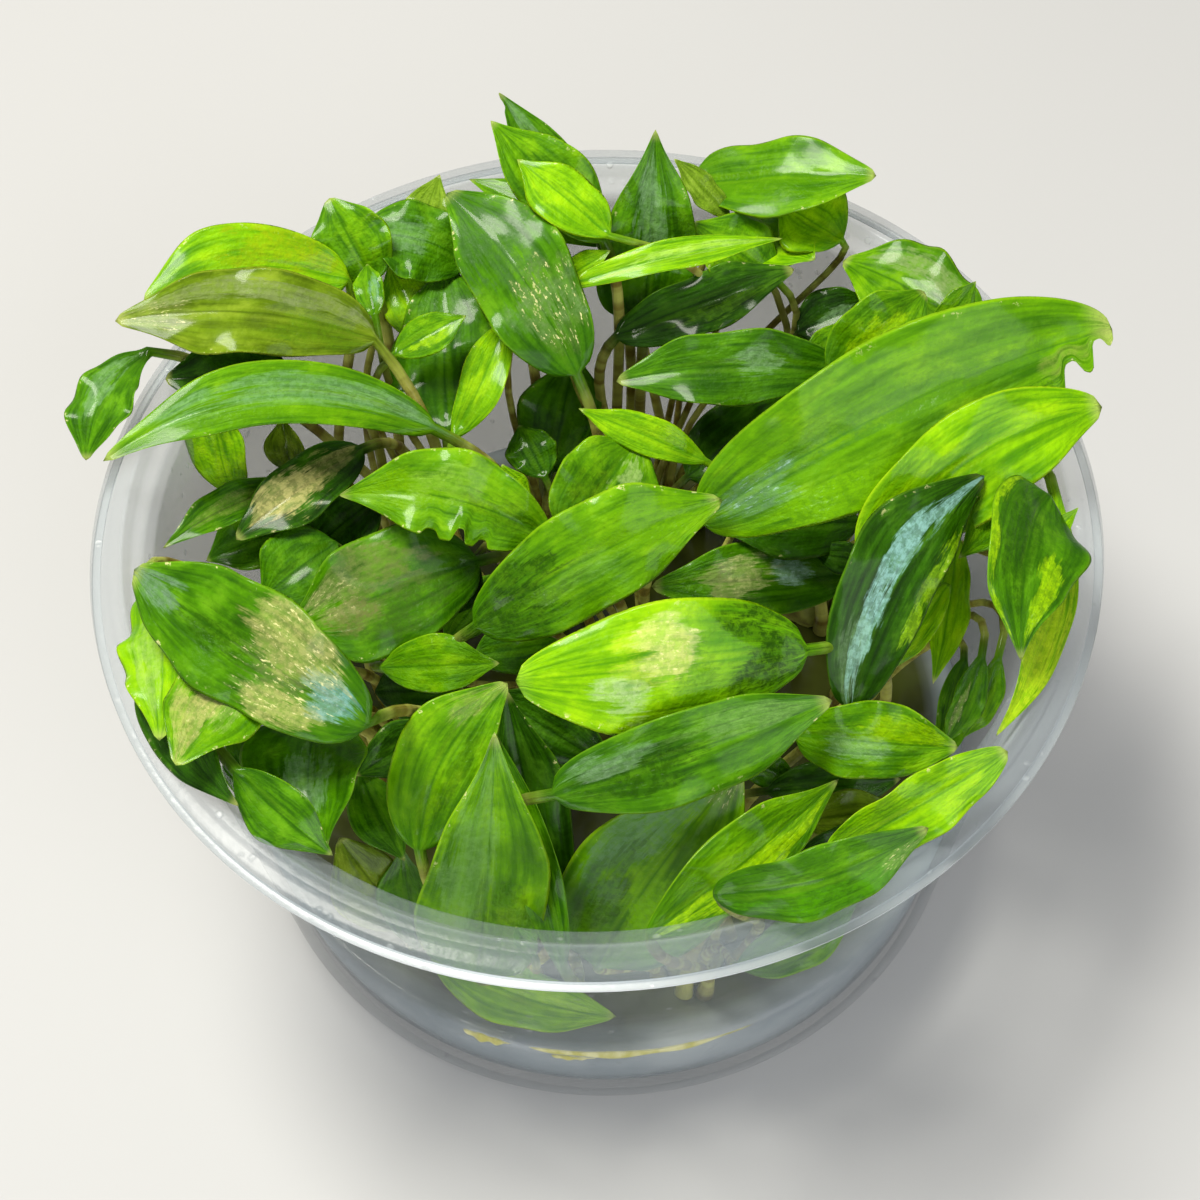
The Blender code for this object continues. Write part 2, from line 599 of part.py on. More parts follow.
def stalk_lines(foot, line):
    """Curves from a stalk's foot to its blade, the plainest first."""
    end, along = line.point(0.0), line.direction(0.0)
    reach = end - foot
    rise = Vector((0.0, 0.0, STALK_RISE * reach.length))
    across = Vector((reach.y, -reach.x, 0.0)).normalized()
    for drop, handle, sway in itertools.product(DROPS, HANDLES, SWAYS):
        back = along.lerp(Vector((0.0, 0.0, 1.0)), drop).normalized() * (handle * reach.length)
        aside = across * sway
        yield Bezier(foot, foot + rise + aside, end - back + aside, end)


def checks(leaf, way):
    """Points along the straight sections that a stalk is made of."""
    corners = [way.point(t) for t in (0.0, *leaf.stations, 1.0)]
    return [
        low.lerp(high, step / CHECKS_PER_SECTION)
        for low, high in zip(corners, corners[1:])
        for step in range(CHECKS_PER_SECTION)
    ][1:]


def exposed(points, canopy):
    """How much of a stalk crosses over a blade, as the viewer sees it."""
    shown = 0
    for point in points:
        towards = (VIEWER - point).normalized()
        if canopy.ray_cast(point + towards * GAP, towards)[0] is None:
            behind = canopy.ray_cast(point - towards * GAP, -towards)[0]
            shown += behind is not None
    return shown


class Stalks:
    """The stalks that have found their way so far."""

    def __init__(self):
        self.points = []

    def routed(self, leaf, line, crown, solid, canopy):
        """A way that keeps its gap to everything else and is well hidden by the blades."""
        taken = KDTree(len(self.points))
        for number, (point, _) in enumerate(self.points):
            taken.insert(point, number)
        taken.balance()
        found = []
        for foot, face in crown.feet(leaf, line.point(0.0)):
            for way in stalk_lines(foot, line):
                points = checks(leaf, way)
                if not self.has_room(points, leaf.stalk_radius, solid, taken):
                    continue
                found.append((exposed(points, canopy), len(found), points, way, face))
                if found[-1][0] <= WELL_HIDDEN or len(found) == MOST_WAYS:
                    return self.taken_by(leaf, min(found))
        if not found:
            raise ValueError(f"no way for the stalk of {leaf}")
        return self.taken_by(leaf, min(found))

    def taken_by(self, leaf, found):
        """Remember the way that a leaf's stalk takes."""
        _, _, points, way, face = found
        self.points += [(point, leaf.stalk_radius) for point in points]
        return way, face

    def has_room(self, points, radius, solid, taken):
        """Whether a stalk along these points keeps its gap to blades, cup, gel and stalks."""
        far = points[CHECKS_PER_SECTION:]
        if min(point.z for point in far) < GEL_TOP + radius + GAP:
            return False
        if any(solid.find_nearest(point, radius + GAP)[0] for point in far):
            return False
        near = radius + STALK_RADIUS + GAP
        return not any(
            distance <= radius + self.points[number][1] + GAP
            for point in points
            for _, number, distance in taken.find_range(point, near)
        )


def stalk_rings(leaf, way, line):
    """Rings along a stalk, carried down from its blade so that they don't twist."""
    frame = facing_frame(line.point(0.0), line.direction(0.0))
    rings = []
    for t in reversed(leaf.stations):
        frame = frame.moved(way.point(t), way.direction(t))
        rings.insert(0, stalk_ring(frame, leaf))
    return rings


def joined(shapes):
    """One search tree of several shapes."""
    points, faces = [], []
    for more_points, more_faces in shapes:
        start = len(points)
        points += more_points
        faces += [tuple(start + index for index in face) for face in more_faces]
    return tree(points, faces)


def add_plantlets(cup):
    """The blades are laid over each other first, then each gets its stalk."""
    shapes = [cup]
    lines = []
    for leaf in LEAVES:
        line, shape = settled(leaf, shapes)
        lines.append(line)
        shapes.append(shape)
    crowns = [Crown(x, y) for x, y in CROWN_PLACES]
    stems = [(list(crown.points), list(crown.faces)) for crown in crowns]
    stalks = Stalks()
    canopy = joined(shapes[1:])
    finishes = {tone: material(f"leaf_{tone.name.lower()}", tone.value, 0.3) for tone in Tone}
    counts = [0] * len(crowns)
    for number in sorted(range(len(LEAVES)), key=lambda number: LEAVES[number].young):
        leaf, line, own = LEAVES[number], lines[number], shapes[number + 1]
        crown = crowns[leaf.plant - 1]
        solid = joined([shape for shape in shapes if shape is not own] + stems)
        way, face = stalks.routed(leaf, line, crown, solid, canopy)
        rings = stalk_rings(leaf, way, line) + blade_rings(leaf, line)
        if leaf.young:
            crown.grow(face, rings, line.point(1.0))
            continue
        counts[leaf.plant - 1] += 1
        name = f"plantlet_{leaf.plant}_leaf_{counts[leaf.plant - 1]}"
        points, faces = closed_loft(rings, way.point(0.0), line.point(1.0))
        add_object(name, points, faces, finishes[leaf.tone])
    finish = material("crown", (0.13, 0.17, 0.03), 0.45)
    for number, crown in enumerate(crowns, start=1):
        add_object(f"plantlet_{number}_crown", crown.points, crown.faces, finish)


def main():
    """Clear the scene and build the cup, the gel and the plantlets."""
    for made in list(bpy.data.objects):
        bpy.data.objects.remove(made, do_unlink=True)
    cup = add_cup()
    add_gel()
    add_plantlets(cup)


main()
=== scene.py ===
"""The look of an open cup of tissue culture Cryptocoryne wendtii, built round its fixed frame.

The frame gives every piece its place. Lengths are in millimetres while a piece is being shaped,
and in metres once it is a mesh.
"""

from __future__ import annotations

import logging
import math
import random
from dataclasses import dataclass, field
from enum import Enum
from typing import Any, Sequence

import bmesh
import bpy
import numpy as np
from mathutils import Matrix, Vector


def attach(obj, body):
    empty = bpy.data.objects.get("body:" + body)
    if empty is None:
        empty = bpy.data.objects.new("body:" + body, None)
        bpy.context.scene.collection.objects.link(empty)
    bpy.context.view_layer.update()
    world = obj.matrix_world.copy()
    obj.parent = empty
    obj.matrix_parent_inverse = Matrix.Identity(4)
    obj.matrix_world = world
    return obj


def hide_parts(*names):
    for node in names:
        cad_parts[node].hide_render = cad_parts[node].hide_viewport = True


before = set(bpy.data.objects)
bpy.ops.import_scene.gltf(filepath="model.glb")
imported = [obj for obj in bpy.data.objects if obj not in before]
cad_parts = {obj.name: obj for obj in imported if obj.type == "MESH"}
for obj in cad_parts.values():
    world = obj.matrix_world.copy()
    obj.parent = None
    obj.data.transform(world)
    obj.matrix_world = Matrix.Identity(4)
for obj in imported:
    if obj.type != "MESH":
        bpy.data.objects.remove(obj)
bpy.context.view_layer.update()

MILLIMETRE = 0.001
BODY = "root"
PLANTLETS = 9
NEAR_AXIS = 0.02  # radius of the small hole that a turned profile leaves on its axis
log = logging.getLogger("cup_of_plants")

Colour = tuple[float, float, float]
Points = np.ndarray
Faces = list[list[int]]
Part = tuple[Points, Faces, dict[str, Points]]


# Arithmetic on points and numbers


def smooth_step(value: Any, low: float, high: float) -> Any:
    """Nought below low, one above high, with a soft change between them."""
    share = np.clip((value - low) / (high - low), 0.0, 1.0)
    return share * share * (3.0 - 2.0 * share)


def unit(vectors: Points) -> Points:
    """Vectors of length one, along the last axis."""
    return vectors / np.linalg.norm(vectors, axis=-1, keepdims=True)


def shade(red: int, green: int, blue: int) -> Colour:
    """A linear colour from the 0 to 255 numbers of a screen.

    Args:
        red: Red, 0 to 255.
        green: Green, 0 to 255.
        blue: Blue, 0 to 255.

    Returns:
        Linear red, green and blue.
    """

    def linear(number: float) -> float:
        """One channel without the screen's curve."""
        share = number / 255.0
        return share / 12.92 if share <= 0.04045 else ((share + 0.055) / 1.055) ** 2.4

    return linear(red), linear(green), linear(blue)


# Shader nodes


class Value:
    """A number socket that takes part in arithmetic: each operator adds a Math node."""

    def __init__(self, shader: Shader, socket: bpy.types.NodeSocket) -> None:
        """Wrap a socket of a shader's tree."""
        self.shader = shader
        self.socket = socket

    def _math(self, operation: str, *values: Any) -> Value:
        """A Math node on these values."""
        made = self.shader.node("ShaderNodeMath", {"operation": operation}, dict(enumerate(values)))
        return Value(self.shader, made.outputs[0])

    def __add__(self, other: Any) -> Value:
        """self + other"""
        return self._math("ADD", self, other)

    __radd__ = __add__

    def __sub__(self, other: Any) -> Value:
        """self - other"""
        return self._math("SUBTRACT", self, other)

    def __rsub__(self, other: Any) -> Value:
        """other - self"""
        return self._math("SUBTRACT", other, self)

    def __mul__(self, other: Any) -> Value:
        """self * other"""
        return self._math("MULTIPLY", self, other)

    __rmul__ = __mul__

    def __truediv__(self, other: Any) -> Value:
        """self / other"""
        return self._math("DIVIDE", self, other)

    def __pow__(self, other: Any) -> Value:
        """self ** other"""
        return self._math("POWER", self, other)

    def __abs__(self) -> Value:
        """abs(self)"""
        return self._math("ABSOLUTE", self)

    def least(self, other: Any) -> Value:
        """The smaller of two values."""
        return self._math("MINIMUM", self, other)

    def most(self, other: Any) -> Value:
        """The larger of two values."""
        return self._math("MAXIMUM", self, other)

    def rises(self, low: float, high: float) -> Value:
        """Nought below low, one above high, with a soft change between them.

        Args:
            low: Where the change starts.
            high: Where it ends.

        Returns:
            The share, from 0 to 1.
        """
        settings = {"interpolation_type": "SMOOTHSTEP"}
        inputs = {"Value": self, "From Min": low, "From Max": high}
        made = self.shader.node("ShaderNodeMapRange", settings, inputs)
        return Value(self.shader, made.outputs["Result"])

    def falls(self, low: float, high: float) -> Value:
        """One below low, nought above high, with a soft change between them."""
        return 1.0 - self.rises(low, high)

    def near(self, middle: float, reach: float) -> Value:
        """One at middle, nought further from it than reach."""
        return abs(self - middle).falls(0.0, reach)


class Shader:
    """A material whose nodes are written as expressions."""

    def __init__(self, name: str) -> None:
        """Start a material with nothing but its output.

        Args:
            name: The material's name.
        """
        self.material = bpy.data.materials.new(name)
        self.material.use_nodes = True
        self.tree = self.material.node_tree
        self.tree.nodes.clear()
        self.output = self.tree.nodes.new("ShaderNodeOutputMaterial")

    def node(self, kind: str, settings: dict[str, Any] | None = None,
             inputs: dict[Any, Any] | None = None) -> bpy.types.Node:
        """Add a node.

        Args:
            kind: The node's type.
            settings: Its properties.
            inputs: Values, colours or links of its sockets, by name or number.

        Returns:
            The node.
        """
        made = self.tree.nodes.new(kind)
        for name, value in (settings or {}).items():
            setattr(made, name, value)
        for name, value in (inputs or {}).items():
            if isinstance(value, Value):
                value = value.socket
            if isinstance(value, bpy.types.NodeSocket):
                self.tree.links.new(value, made.inputs[name])
            else:
                opaque = (*value, 1.0) if isinstance(value, tuple) else value
                made.inputs[name].default_value = opaque
        return made

    def attribute(self, name: str) -> Value:
        """A number that the mesh holds at each point."""
        made = self.node("ShaderNodeAttribute", {"attribute_name": name})
        return Value(self, made.outputs["Fac"])

    def vector(self, x: Any, y: Any, z: Any) -> bpy.types.NodeSocket:
        """A vector of three numbers."""
        made = self.node("ShaderNodeCombineXYZ", None, {"X": x, "Y": y, "Z": z})
        return made.outputs["Vector"]

    def position(self) -> bpy.types.NodeSocket:
        """The point's place on the object."""
        return self.node("ShaderNodeTexCoord").outputs["Object"]

    def noise(self, where: bpy.types.NodeSocket, scale: float, detail: float = 3.0,
              roughness: float = 0.5) -> Value:
        """Soft cloudy noise, about 0.5 in the middle."""
        inputs = {"Vector": where, "Scale": scale, "Detail": detail, "Roughness": roughness}
        return Value(self, self.node("ShaderNodeTexNoise", None, inputs).outputs["Fac"])

    def cells(self, where: bpy.types.NodeSocket, scale: float) -> Value:
        """Distance to the nearest of many scattered points."""
        inputs = {"Vector": where, "Scale": scale}
        return Value(self, self.node("ShaderNodeTexVoronoi", None, inputs).outputs["Distance"])

    def mix(self, share: Any, first: Any, second: Any) -> bpy.types.NodeSocket:
        """A colour between two others."""
        settings = {"data_type": "RGBA", "clamp_factor": True}
        return self.node("ShaderNodeMix", settings, {0: share, 6: first, 7: second}).outputs[2]

    def bump(self, height: Value, strength: float, distance: float) -> bpy.types.NodeSocket:
        """A normal for small relief; distance is in metres."""
        inputs = {"Height": height, "Strength": strength, "Distance": distance}
        return self.node("ShaderNodeBump", None, inputs).outputs["Normal"]

    def surface(self, inputs: dict[str, Any]) -> bpy.types.Material:
        """Finish the material with one Principled surface.

        Args:
            inputs: Values, colours or links of the surface's sockets, by name.

        Returns:
            The material.
        """
        made = self.node("ShaderNodeBsdfPrincipled", None, inputs)
        self.tree.links.new(made.outputs["BSDF"], self.output.inputs["Surface"])
        return self.material


# Finishes


class Tone(Enum):
    """The kinds of leaf in the cup, by colour: deep, body, light and edge."""

    BRIGHT = (shade(74, 134, 0), shade(134, 192, 0), shade(166, 210, 8), shade(188, 216, 40))
    FRESH = (shade(52, 104, 0), shade(98, 156, 0), shade(134, 184, 12), shade(158, 198, 30))
    MID = (shade(36, 82, 0), shade(74, 132, 0), shade(108, 162, 22), shade(130, 178, 22))
    DARK = (shade(18, 48, 0), shade(46, 94, 0), shade(84, 134, 24), shade(104, 150, 12))
    OLIVE = (shade(62, 84, 0), shade(106, 136, 12), shade(142, 164, 44), shade(158, 174, 40))
    PALE = (shade(86, 122, 10), shade(130, 168, 36), shade(164, 196, 70), shade(182, 210, 70))


@dataclass(frozen=True)
class Sheen:
    """A patch of colour painted on a blade: where pale, gold, tan, teal or sky-blue, a painted
    highlight or reflection of the lights on its wet surface, and elsewhere a plain darker or
    greener patch.

    Attributes:
        along: Its middle along the blade, 0 at the base and 1 at the tip.
        across: Its middle across the blade, from -1 to 1.
        length: How far it reaches along the blade, as a part of the blade.
        breadth: How far it reaches across, as a part of the half width.
        colour: The patch's colour.
        strength: How strongly that colour covers the leaf.
        speckle: How broken up it is, 0 for a plain patch and 1 for painted glints.
    """

    along: float
    across: float
    length: float
    breadth: float
    colour: Colour
    strength: float = 0.8
    speckle: float = 0.3


@dataclass(frozen=True)
class Notch:
    """A place where a blade's edge is bitten away, or juts out where the depth is negative.

    Attributes:
        along: Its middle along the blade.
        side: 1 for the right edge, -1 for the left edge.
        depth: How much of the half width is missing.
        length: How far it reaches along the blade.
    """

    along: float
    side: int
    depth: float
    length: float


# Sheen colours: GOLD, TEAL, SKY, MIST and TAN are painted highlights and reflections of the lights,
# DEEP and LIME plain darker and yellow-green patches
GOLD = shade(232, 226, 160)
TEAL = shade(142, 184, 170)
SKY = shade(172, 206, 200)
MIST = shade(134, 172, 122)
TAN = shade(190, 186, 110)
DEEP = shade(30, 66, 0)
LIME = shade(158, 204, 8)


@dataclass(frozen=True)
class Look:
    """How one leaf is shaped and coloured beyond what the frame says.

    Attributes:
        tone: Its colours.
        sheens: Its painted highlights, reflections and glints, and its plain colour patches.
        ripple: Height of the waves of its edge, in millimetres.
        waves: How many waves each edge has.
        gloss: Roughness of the wet film.
        notches: Where its edge is bitten or torn.
        point: How sharply its tip narrows.
        tip: How much of its tip is bleached.
        foot: How much darker the blade is towards its stalk.
        fuller: How much broader its soft margin makes it than the frame's.
    """

    tone: Tone = Tone.MID
    sheens: tuple[Sheen, ...] = ()
    ripple: float = 0.5
    waves: float = 2.5
    gloss: float = 0.36
    notches: tuple[Notch, ...] = ()
    point: float = 0.55
    tip: float = 0.5
    foot: float = 0.5
    fuller: float = 1.22


@dataclass(frozen=True)
class LeafFinish:
    """The skin of one leaf, from its brown stalk to its bleached tip, with painted highlights,
    reflections and glints.

    Attributes:
        name: The material's name.
        look: The leaf's look.
    """

    name: str
    look: Look

    def material(self) -> bpy.types.Material:
        """Build the leaf's material.

        Returns:
            The material, which reads along, across, offset and under from the mesh.
        """
        s = Shader(self.name)
        deep, body, light, edge = self.look.tone.value
        seed = random.Random(self.name).uniform(0.0, 50.0)
        along = s.attribute("along")
        across = s.attribute("across")
        offset = s.attribute("offset")
        under = s.attribute("under")
        side = abs(across)
        where = s.position()
        streaks = s.noise(s.vector(along * 1.6, across * 5.0, seed), 1.6, 3.0, 0.5)
        clouds = s.noise(s.vector(along * 3.2, across * 1.4, seed + 7.0), 1.3, 4.0, 0.6)
        mottle = s.noise(where, 420.0, 3.0, 0.6)
        veins = self._veins(side)
        colour = s.mix((streaks * 0.45 + clouds * 0.55).rises(0.34, 0.6), deep, body)
        colour = s.mix((clouds * 0.7 + mottle * 0.3).rises(0.5, 0.68) * 0.6, colour, light)
        colour = s.mix(mottle.falls(0.34, 0.54) * 0.25, colour, deep)
        colour = s.mix(veins * 0.14, colour, deep)
        colour = s.mix(side.rises(0.93, 1.0) * streaks.rises(0.3, 0.6) * 0.45, colour, edge)
        colour = s.mix(abs(offset).near(0.45, 0.4) * along.falls(0.4, 0.95) * 0.25, colour, light)
        colour = s.mix(abs(offset).falls(0.03, 0.16) * along.falls(0.8, 1.0) * 0.6, colour, deep)
        colour = s.mix(along.falls(0.02, 0.5) * self.look.foot, colour, deep)
        colour = s.mix(along.rises(0.93, 1.0) * self.look.tip, colour, shade(206, 214, 120))
        colour = s.mix(under * 0.45, colour, light)
        colour = s.mix(along.falls(-0.2, 0.02), colour, self._stalk(s, along, seed))
        rough = mottle.rises(0.3, 0.8) * 0.25
        rough = rough + self.look.gloss
        grain = s.noise(where, 1300.0, 3.0, 0.7)
        # Painted glints: gold specks of reflected light along the outer edges of the blade
        edges = side.rises(0.8, 0.97) * along.rises(0.3, 0.7) * grain.rises(0.6, 0.64)
        colour = s.mix(edges * clouds.rises(0.48, 0.56) * (1.0 - under) * 0.8, colour, GOLD)
        # The sheens: painted highlights and reflections of the lights, broken into streaks and
        # painted glints; the darker and greener ones are plain colour patches
        sweep = s.noise(s.vector(along * 4.0, across * 2.2, seed + 9.0), 1.3, 4.0, 0.6)
        streak = s.noise(s.vector(along * 5.0, across * 14.0, seed + 3.0), 1.5, 4.0, 0.6)
        glint = s.noise(s.vector(along * 18.0, across * 9.0, seed + 5.0), 1.6, 4.0, 0.7)
        wander = (sweep - 0.5) * 4.5 + (streak - 0.5) * 2.4
        cover = (streak.rises(0.25, 0.6) * 0.4 + 0.6) * (grain.rises(0.4, 0.6) * 0.5 + 0.5)
        painted_glints = glint.rises(0.57, 0.64)
        for sheen in self.look.sheens:
            far = (((along - sheen.along) / sheen.length) ** 2.0
                   + ((across - sheen.across) / sheen.breadth) ** 2.0)
            sheen_patch = (far + wander).falls(0.45, 1.05) * far.falls(1.0, 2.4) * cover
            if sheen.speckle > 0.0:
                sheen_patch = sheen_patch * (painted_glints * sheen.speckle + (1.0 - sheen.speckle))
            colour = s.mix(sheen_patch * sheen.strength * (1.0 - under), colour, sheen.colour)
            rough = rough * (1.0 - sheen_patch * 0.5)
        relief = s.noise(s.vector(along * 24.0, across * 6.0, seed), 1.5, 3.0) * 0.5
        relief = relief + s.noise(where, 1100.0, 3.0, 0.6) * 0.5
        relief = relief - veins * 0.12
        return s.surface({
            "Base Color": colour,
            "Roughness": rough,
            "Specular IOR Level": 0.05,
            "Coat Weight": 0.24,
            "Coat Roughness": 0.13,
            "Normal": s.bump(relief, 0.7, 0.0004),
        })

    @staticmethod
    def _veins(side: Value) -> Value:
        """The long side veins, which run from the base to the tip."""
        return side.near(0.36, 0.05).most(side.near(0.68, 0.045)) * 0.7

    @staticmethod
    def _stalk(s: Shader, along: Value, seed: float) -> bpy.types.NodeSocket:
        """Brown and olive streaks of the stalk."""
        streaks = s.noise(s.vector(along * 6.0, seed, 0.0), 3.0)
        return s.mix(streaks.rises(0.35, 0.65), shade(128, 114, 46), shade(194, 196, 96))


@dataclass(frozen=True)
class CloudedFinish:
    """A plain skin of two colours in soft clouds.

    Attributes:
        name: The material's name.
        dark: The darker colour.
        light: The lighter colour.
        scale: How fine the clouds are.
        rough: The least roughness.
        rougher: How much more there is where the clouds are light.
        strength: Strength of the relief.
    """

    name: str
    dark: Colour
    light: Colour
    scale: float
    rough: float
    rougher: float
    strength: float

    def material(self) -> bpy.types.Material:
        """Build the material.

        Returns:
            The material.
        """
        s = Shader(self.name)
        clouds = s.noise(s.position(), self.scale, 4.0)
        return s.surface({
            "Base Color": s.mix(clouds.rises(0.35, 0.65), self.dark, self.light),
            "Roughness": clouds * self.rougher + self.rough,
            "Normal": s.bump(clouds, self.strength, 0.0005),
        })


@dataclass(frozen=True)
class CupFinish:
    """Frosted clear polypropylene, milkier where it is thick, with painted highlights along the lip
    and inside the mouth.

    Attributes:
        name: The material's name.
        body: Its colour.
        haze: How much of what is behind the wall it hides.
        rim_haze: The same at the rim.
        fog_haze: How much more the damp at the back of the cup hides.
    """

    name: str = "frosted_plastic"
    body: Colour = shade(128, 137, 140)
    haze: float = 0.12
    rim_haze: float = 0.2
    fog_haze: float = 0.3

    # Heights and radii in millimetres, between which a part of the rim fades in or out
    RIM_FOOT = (50.2, 50.9)
    LIP_TOP = (51.0, 51.2)
    LIP_INSIDE = (48.9, 49.1)
    MOUTH_FOOT = (51.6, 52.4)
    MOUTH_OUTSIDE = (46.5, 47.1)

    def material(self) -> bpy.types.Material:
        """Build the cup's material.

        Returns:
            The material, which reads height, spread, fog and the painted lip shine from the mesh.
        """
        s = Shader(self.name)
        height = s.attribute("height")
        spread = s.attribute("spread")
        fog = s.attribute("fog")
        painted_lip_shine = s.attribute("painted_lip_shine")
        rim = height.rises(*self.RIM_FOOT)
        # Painted highlight: a white, more opaque line along the lower edge of the rim's skirt,
        # strongest at the front left
        lip = height.falls(*self.LIP_TOP) * spread.rises(*self.LIP_INSIDE) * (painted_lip_shine * 0.65 + 0.35)
        # Painted highlight: a lighter, more opaque band round the inside of the mouth
        inner = height.rises(*self.MOUTH_FOOT) * spread.falls(*self.MOUTH_OUTSIDE)
        edge = Value(s, s.node("ShaderNodeLayerWeight", None, {"Blend": 0.3}).outputs["Facing"])
        where = s.position()
        clouds = s.noise(where, 60.0, 3.0)
        damp = s.noise(where, 240.0, 3.0)
        drops = s.cells(where, 420.0).falls(0.12, 0.22) * damp.rises(0.5, 0.6)
        colour = s.mix(rim * 0.5, self.body, shade(170, 184, 192))
        # Lighter where the damp drops are, and with the painted highlights on the lip and inside
        # the mouth
        colour = s.mix((drops * 0.3 + lip + inner * 0.25).least(1.0), colour, shade(238, 243, 245))
        haze = rim * (self.rim_haze - self.haze) + self.haze + clouds * 0.12 - 0.06
        haze = haze + fog * (1.0 - rim) * self.fog_haze + inner * 0.15
        haze = (haze + edge * 0.12 + drops * 0.15 + lip).least(1.0)
        relief = s.noise(where, 900.0, 2.0) * 0.3 + drops
        return s.surface({
            "Base Color": colour,
            "Roughness": clouds * 0.1 + 0.16,
            "Specular IOR Level": 0.5,
            "Alpha": haze,
            "Normal": s.bump(relief, 0.4, 0.0004),
        })


@dataclass(frozen=True)
class GelFinish:
    """Firm clear culture gel, a little cloudy, with a wet top on which the leaves' shade is
    painted.
    """

    name: str = "culture_gel"

    def material(self) -> bpy.types.Material:
        """Build the gel's material.

        Returns:
            The material, which reads from the mesh where the leaves' shade is painted on its top.
        """
        s = Shader(self.name)
        where = s.position()
        clouds = s.noise(where, 70.0, 4.0)
        bubbles = s.cells(where, 260.0).falls(0.05, 0.1)
        colour = s.mix(clouds.rises(0.4, 0.7), shade(164, 176, 184), shade(194, 203, 208))
        colour = s.mix(bubbles * 0.5, colour, shade(215, 220, 220))
        # Painted shade of the leaves: the top turns dark olive, and more opaque, under the plants
        above = s.attribute("above")
        colour = s.mix(above, colour, s.mix(clouds.rises(0.35, 0.65), shade(40, 44, 12),
                                            shade(74, 82, 30)))
        return s.surface({
            "Base Color": colour,
            "Roughness": clouds * 0.1 + 0.08,
            "Alpha": (clouds * 0.3 + 0.6 + above * 0.4).least(1.0),
            "Normal": s.bump(clouds, 0.2, 0.002),
        })


@dataclass(frozen=True)
class FloorFinish:
    """Matt pale studio floor."""

    name: str = "studio_floor"
    body: Colour = (0.54, 0.54, 0.54)

    def material(self) -> bpy.types.Material:
        """Build the floor's material."""
        s = Shader(self.name)
        return s.surface({"Base Color": self.body, "Roughness": 0.8})


# Meshes


def add_piece(name: str, points: Points, faces: Faces,
              finish: bpy.types.Material, numbers: dict[str, Points] | None = None
              ) -> bpy.types.Object:
    """Make a smooth object of points in millimetres.

    Args:
        name: The object's name.
        points: One row for each point.
        faces: Point numbers of each face.
        finish: Its material.
        numbers: Numbers that the mesh holds at each point, by name.

    Returns:
        The object.
    """
    mesh = bpy.data.meshes.new(name)
    mesh.from_pydata((points * MILLIMETRE).tolist(), [], faces)
    for key, values in (numbers or {}).items():
        held = mesh.attributes.new(key, "FLOAT", "POINT")
        held.data.foreach_set("value", np.asarray(values, np.float32))
    work = bmesh.new()
    work.from_mesh(mesh)
    bmesh.ops.recalc_face_normals(work, faces=work.faces)
    work.to_mesh(mesh)
    work.free()
    mesh.shade_smooth()
    mesh.materials.append(finish)
    made = bpy.data.objects.new(name, mesh)
    bpy.context.scene.collection.objects.link(made)
    return made


def together(name: str, parts: Sequence[Part],
             finishes: Sequence[bpy.types.Material]) -> bpy.types.Object:
    """One object of several meshes, each with its own finish.

    Args:
        name: The object's name.
        parts: Points, faces and numbers of each mesh.
        finishes: The finish of each mesh.

    Returns:
        The object.
    """
    points, faces, slots = [], [], []
    numbers: dict[str, list[Points]] = {}
    start = 0
    for slot, (own_points, own_faces, own_numbers) in enumerate(parts):
        points.append(own_points)
        faces += [[start + index for index in face] for face in own_faces]
        slots += [slot] * len(own_faces)
        for key, values in own_numbers.items():
            numbers.setdefault(key, []).append(values)
        start += len(own_points)
    held = {key: np.concatenate(rows) for key, rows in numbers.items()}
    piece = add_piece(name, np.concatenate(points), faces, finishes[0], held)
    for finish in finishes[1:]:
        piece.data.materials.append(finish)
    piece.data.polygons.foreach_set("material_index", np.array(slots, np.int32))
    return piece


def settle(piece: bpy.types.Object, node: str) -> None:
    """Put a piece in its node's place.

    Args:
        piece: The piece.
        node: The node that it stands for.
    """
    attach(piece, BODY)
    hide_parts(node)
    log.info("%s: %d faces in place of %s", piece.name, len(piece.data.polygons), node)


def between_rings(rows: int, columns: int, closed: bool = False) -> Faces:
    """Faces between rings of points that follow each other.

    Args:
        rows: How many rings there are.
        columns: How many points each ring has.
        closed: Whether the last ring joins the first.

    Returns:
        The faces.
    """
    faces = []
    for row in range(rows if closed else rows - 1):
        low, high = row * columns, (row + 1) % rows * columns
        for step in range(columns):
            after = (step + 1) % columns
            faces.append([low + step, low + after, high + after, high + step])
    return faces


def turned(profile: Points, segments: int) -> tuple[Points, Faces]:
    """A closed profile turned about the upright axis.

    Args:
        profile: Rows of radius and height.
        segments: How many steps the turn has.

    Returns:
        Points and faces.
    """
    angles = np.arange(segments) * math.tau / segments
    radius, height = profile[:, 0], profile[:, 1]
    points = np.stack([
        np.outer(radius, np.cos(angles)),
        np.outer(radius, np.sin(angles)),
        np.repeat(height[:, None], segments, axis=1),
    ], axis=-1).reshape(-1, 3)
    return points, between_rings(len(profile), segments, closed=True)


def rounded(corners: Sequence[tuple[float, float, float]], steps: int = 4) -> Points:
    """A closed profile with its corners rounded.

    Args:
        corners: Radius, height and the rounding of each corner.
        steps: How many points each rounding has.

    Returns:
        Rows of radius and height.
    """
    rows = []
    for number, (x, y, size) in enumerate(corners):
        here = np.array((x, y))
        before = np.array(corners[number - 1][:2]) - here
        after = np.array(corners[(number + 1) % len(corners)][:2]) - here
        reach = min(size, 0.45 * np.linalg.norm(before), 0.45 * np.linalg.norm(after))
        start = here + before / np.linalg.norm(before) * reach
        end = here + after / np.linalg.norm(after) * reach
        for t in np.linspace(0.0, 1.0, steps):
            rows.append((1 - t) ** 2 * start + 2 * t * (1 - t) * here + t * t * end)
    return np.array(rows)


# The cup and its gel


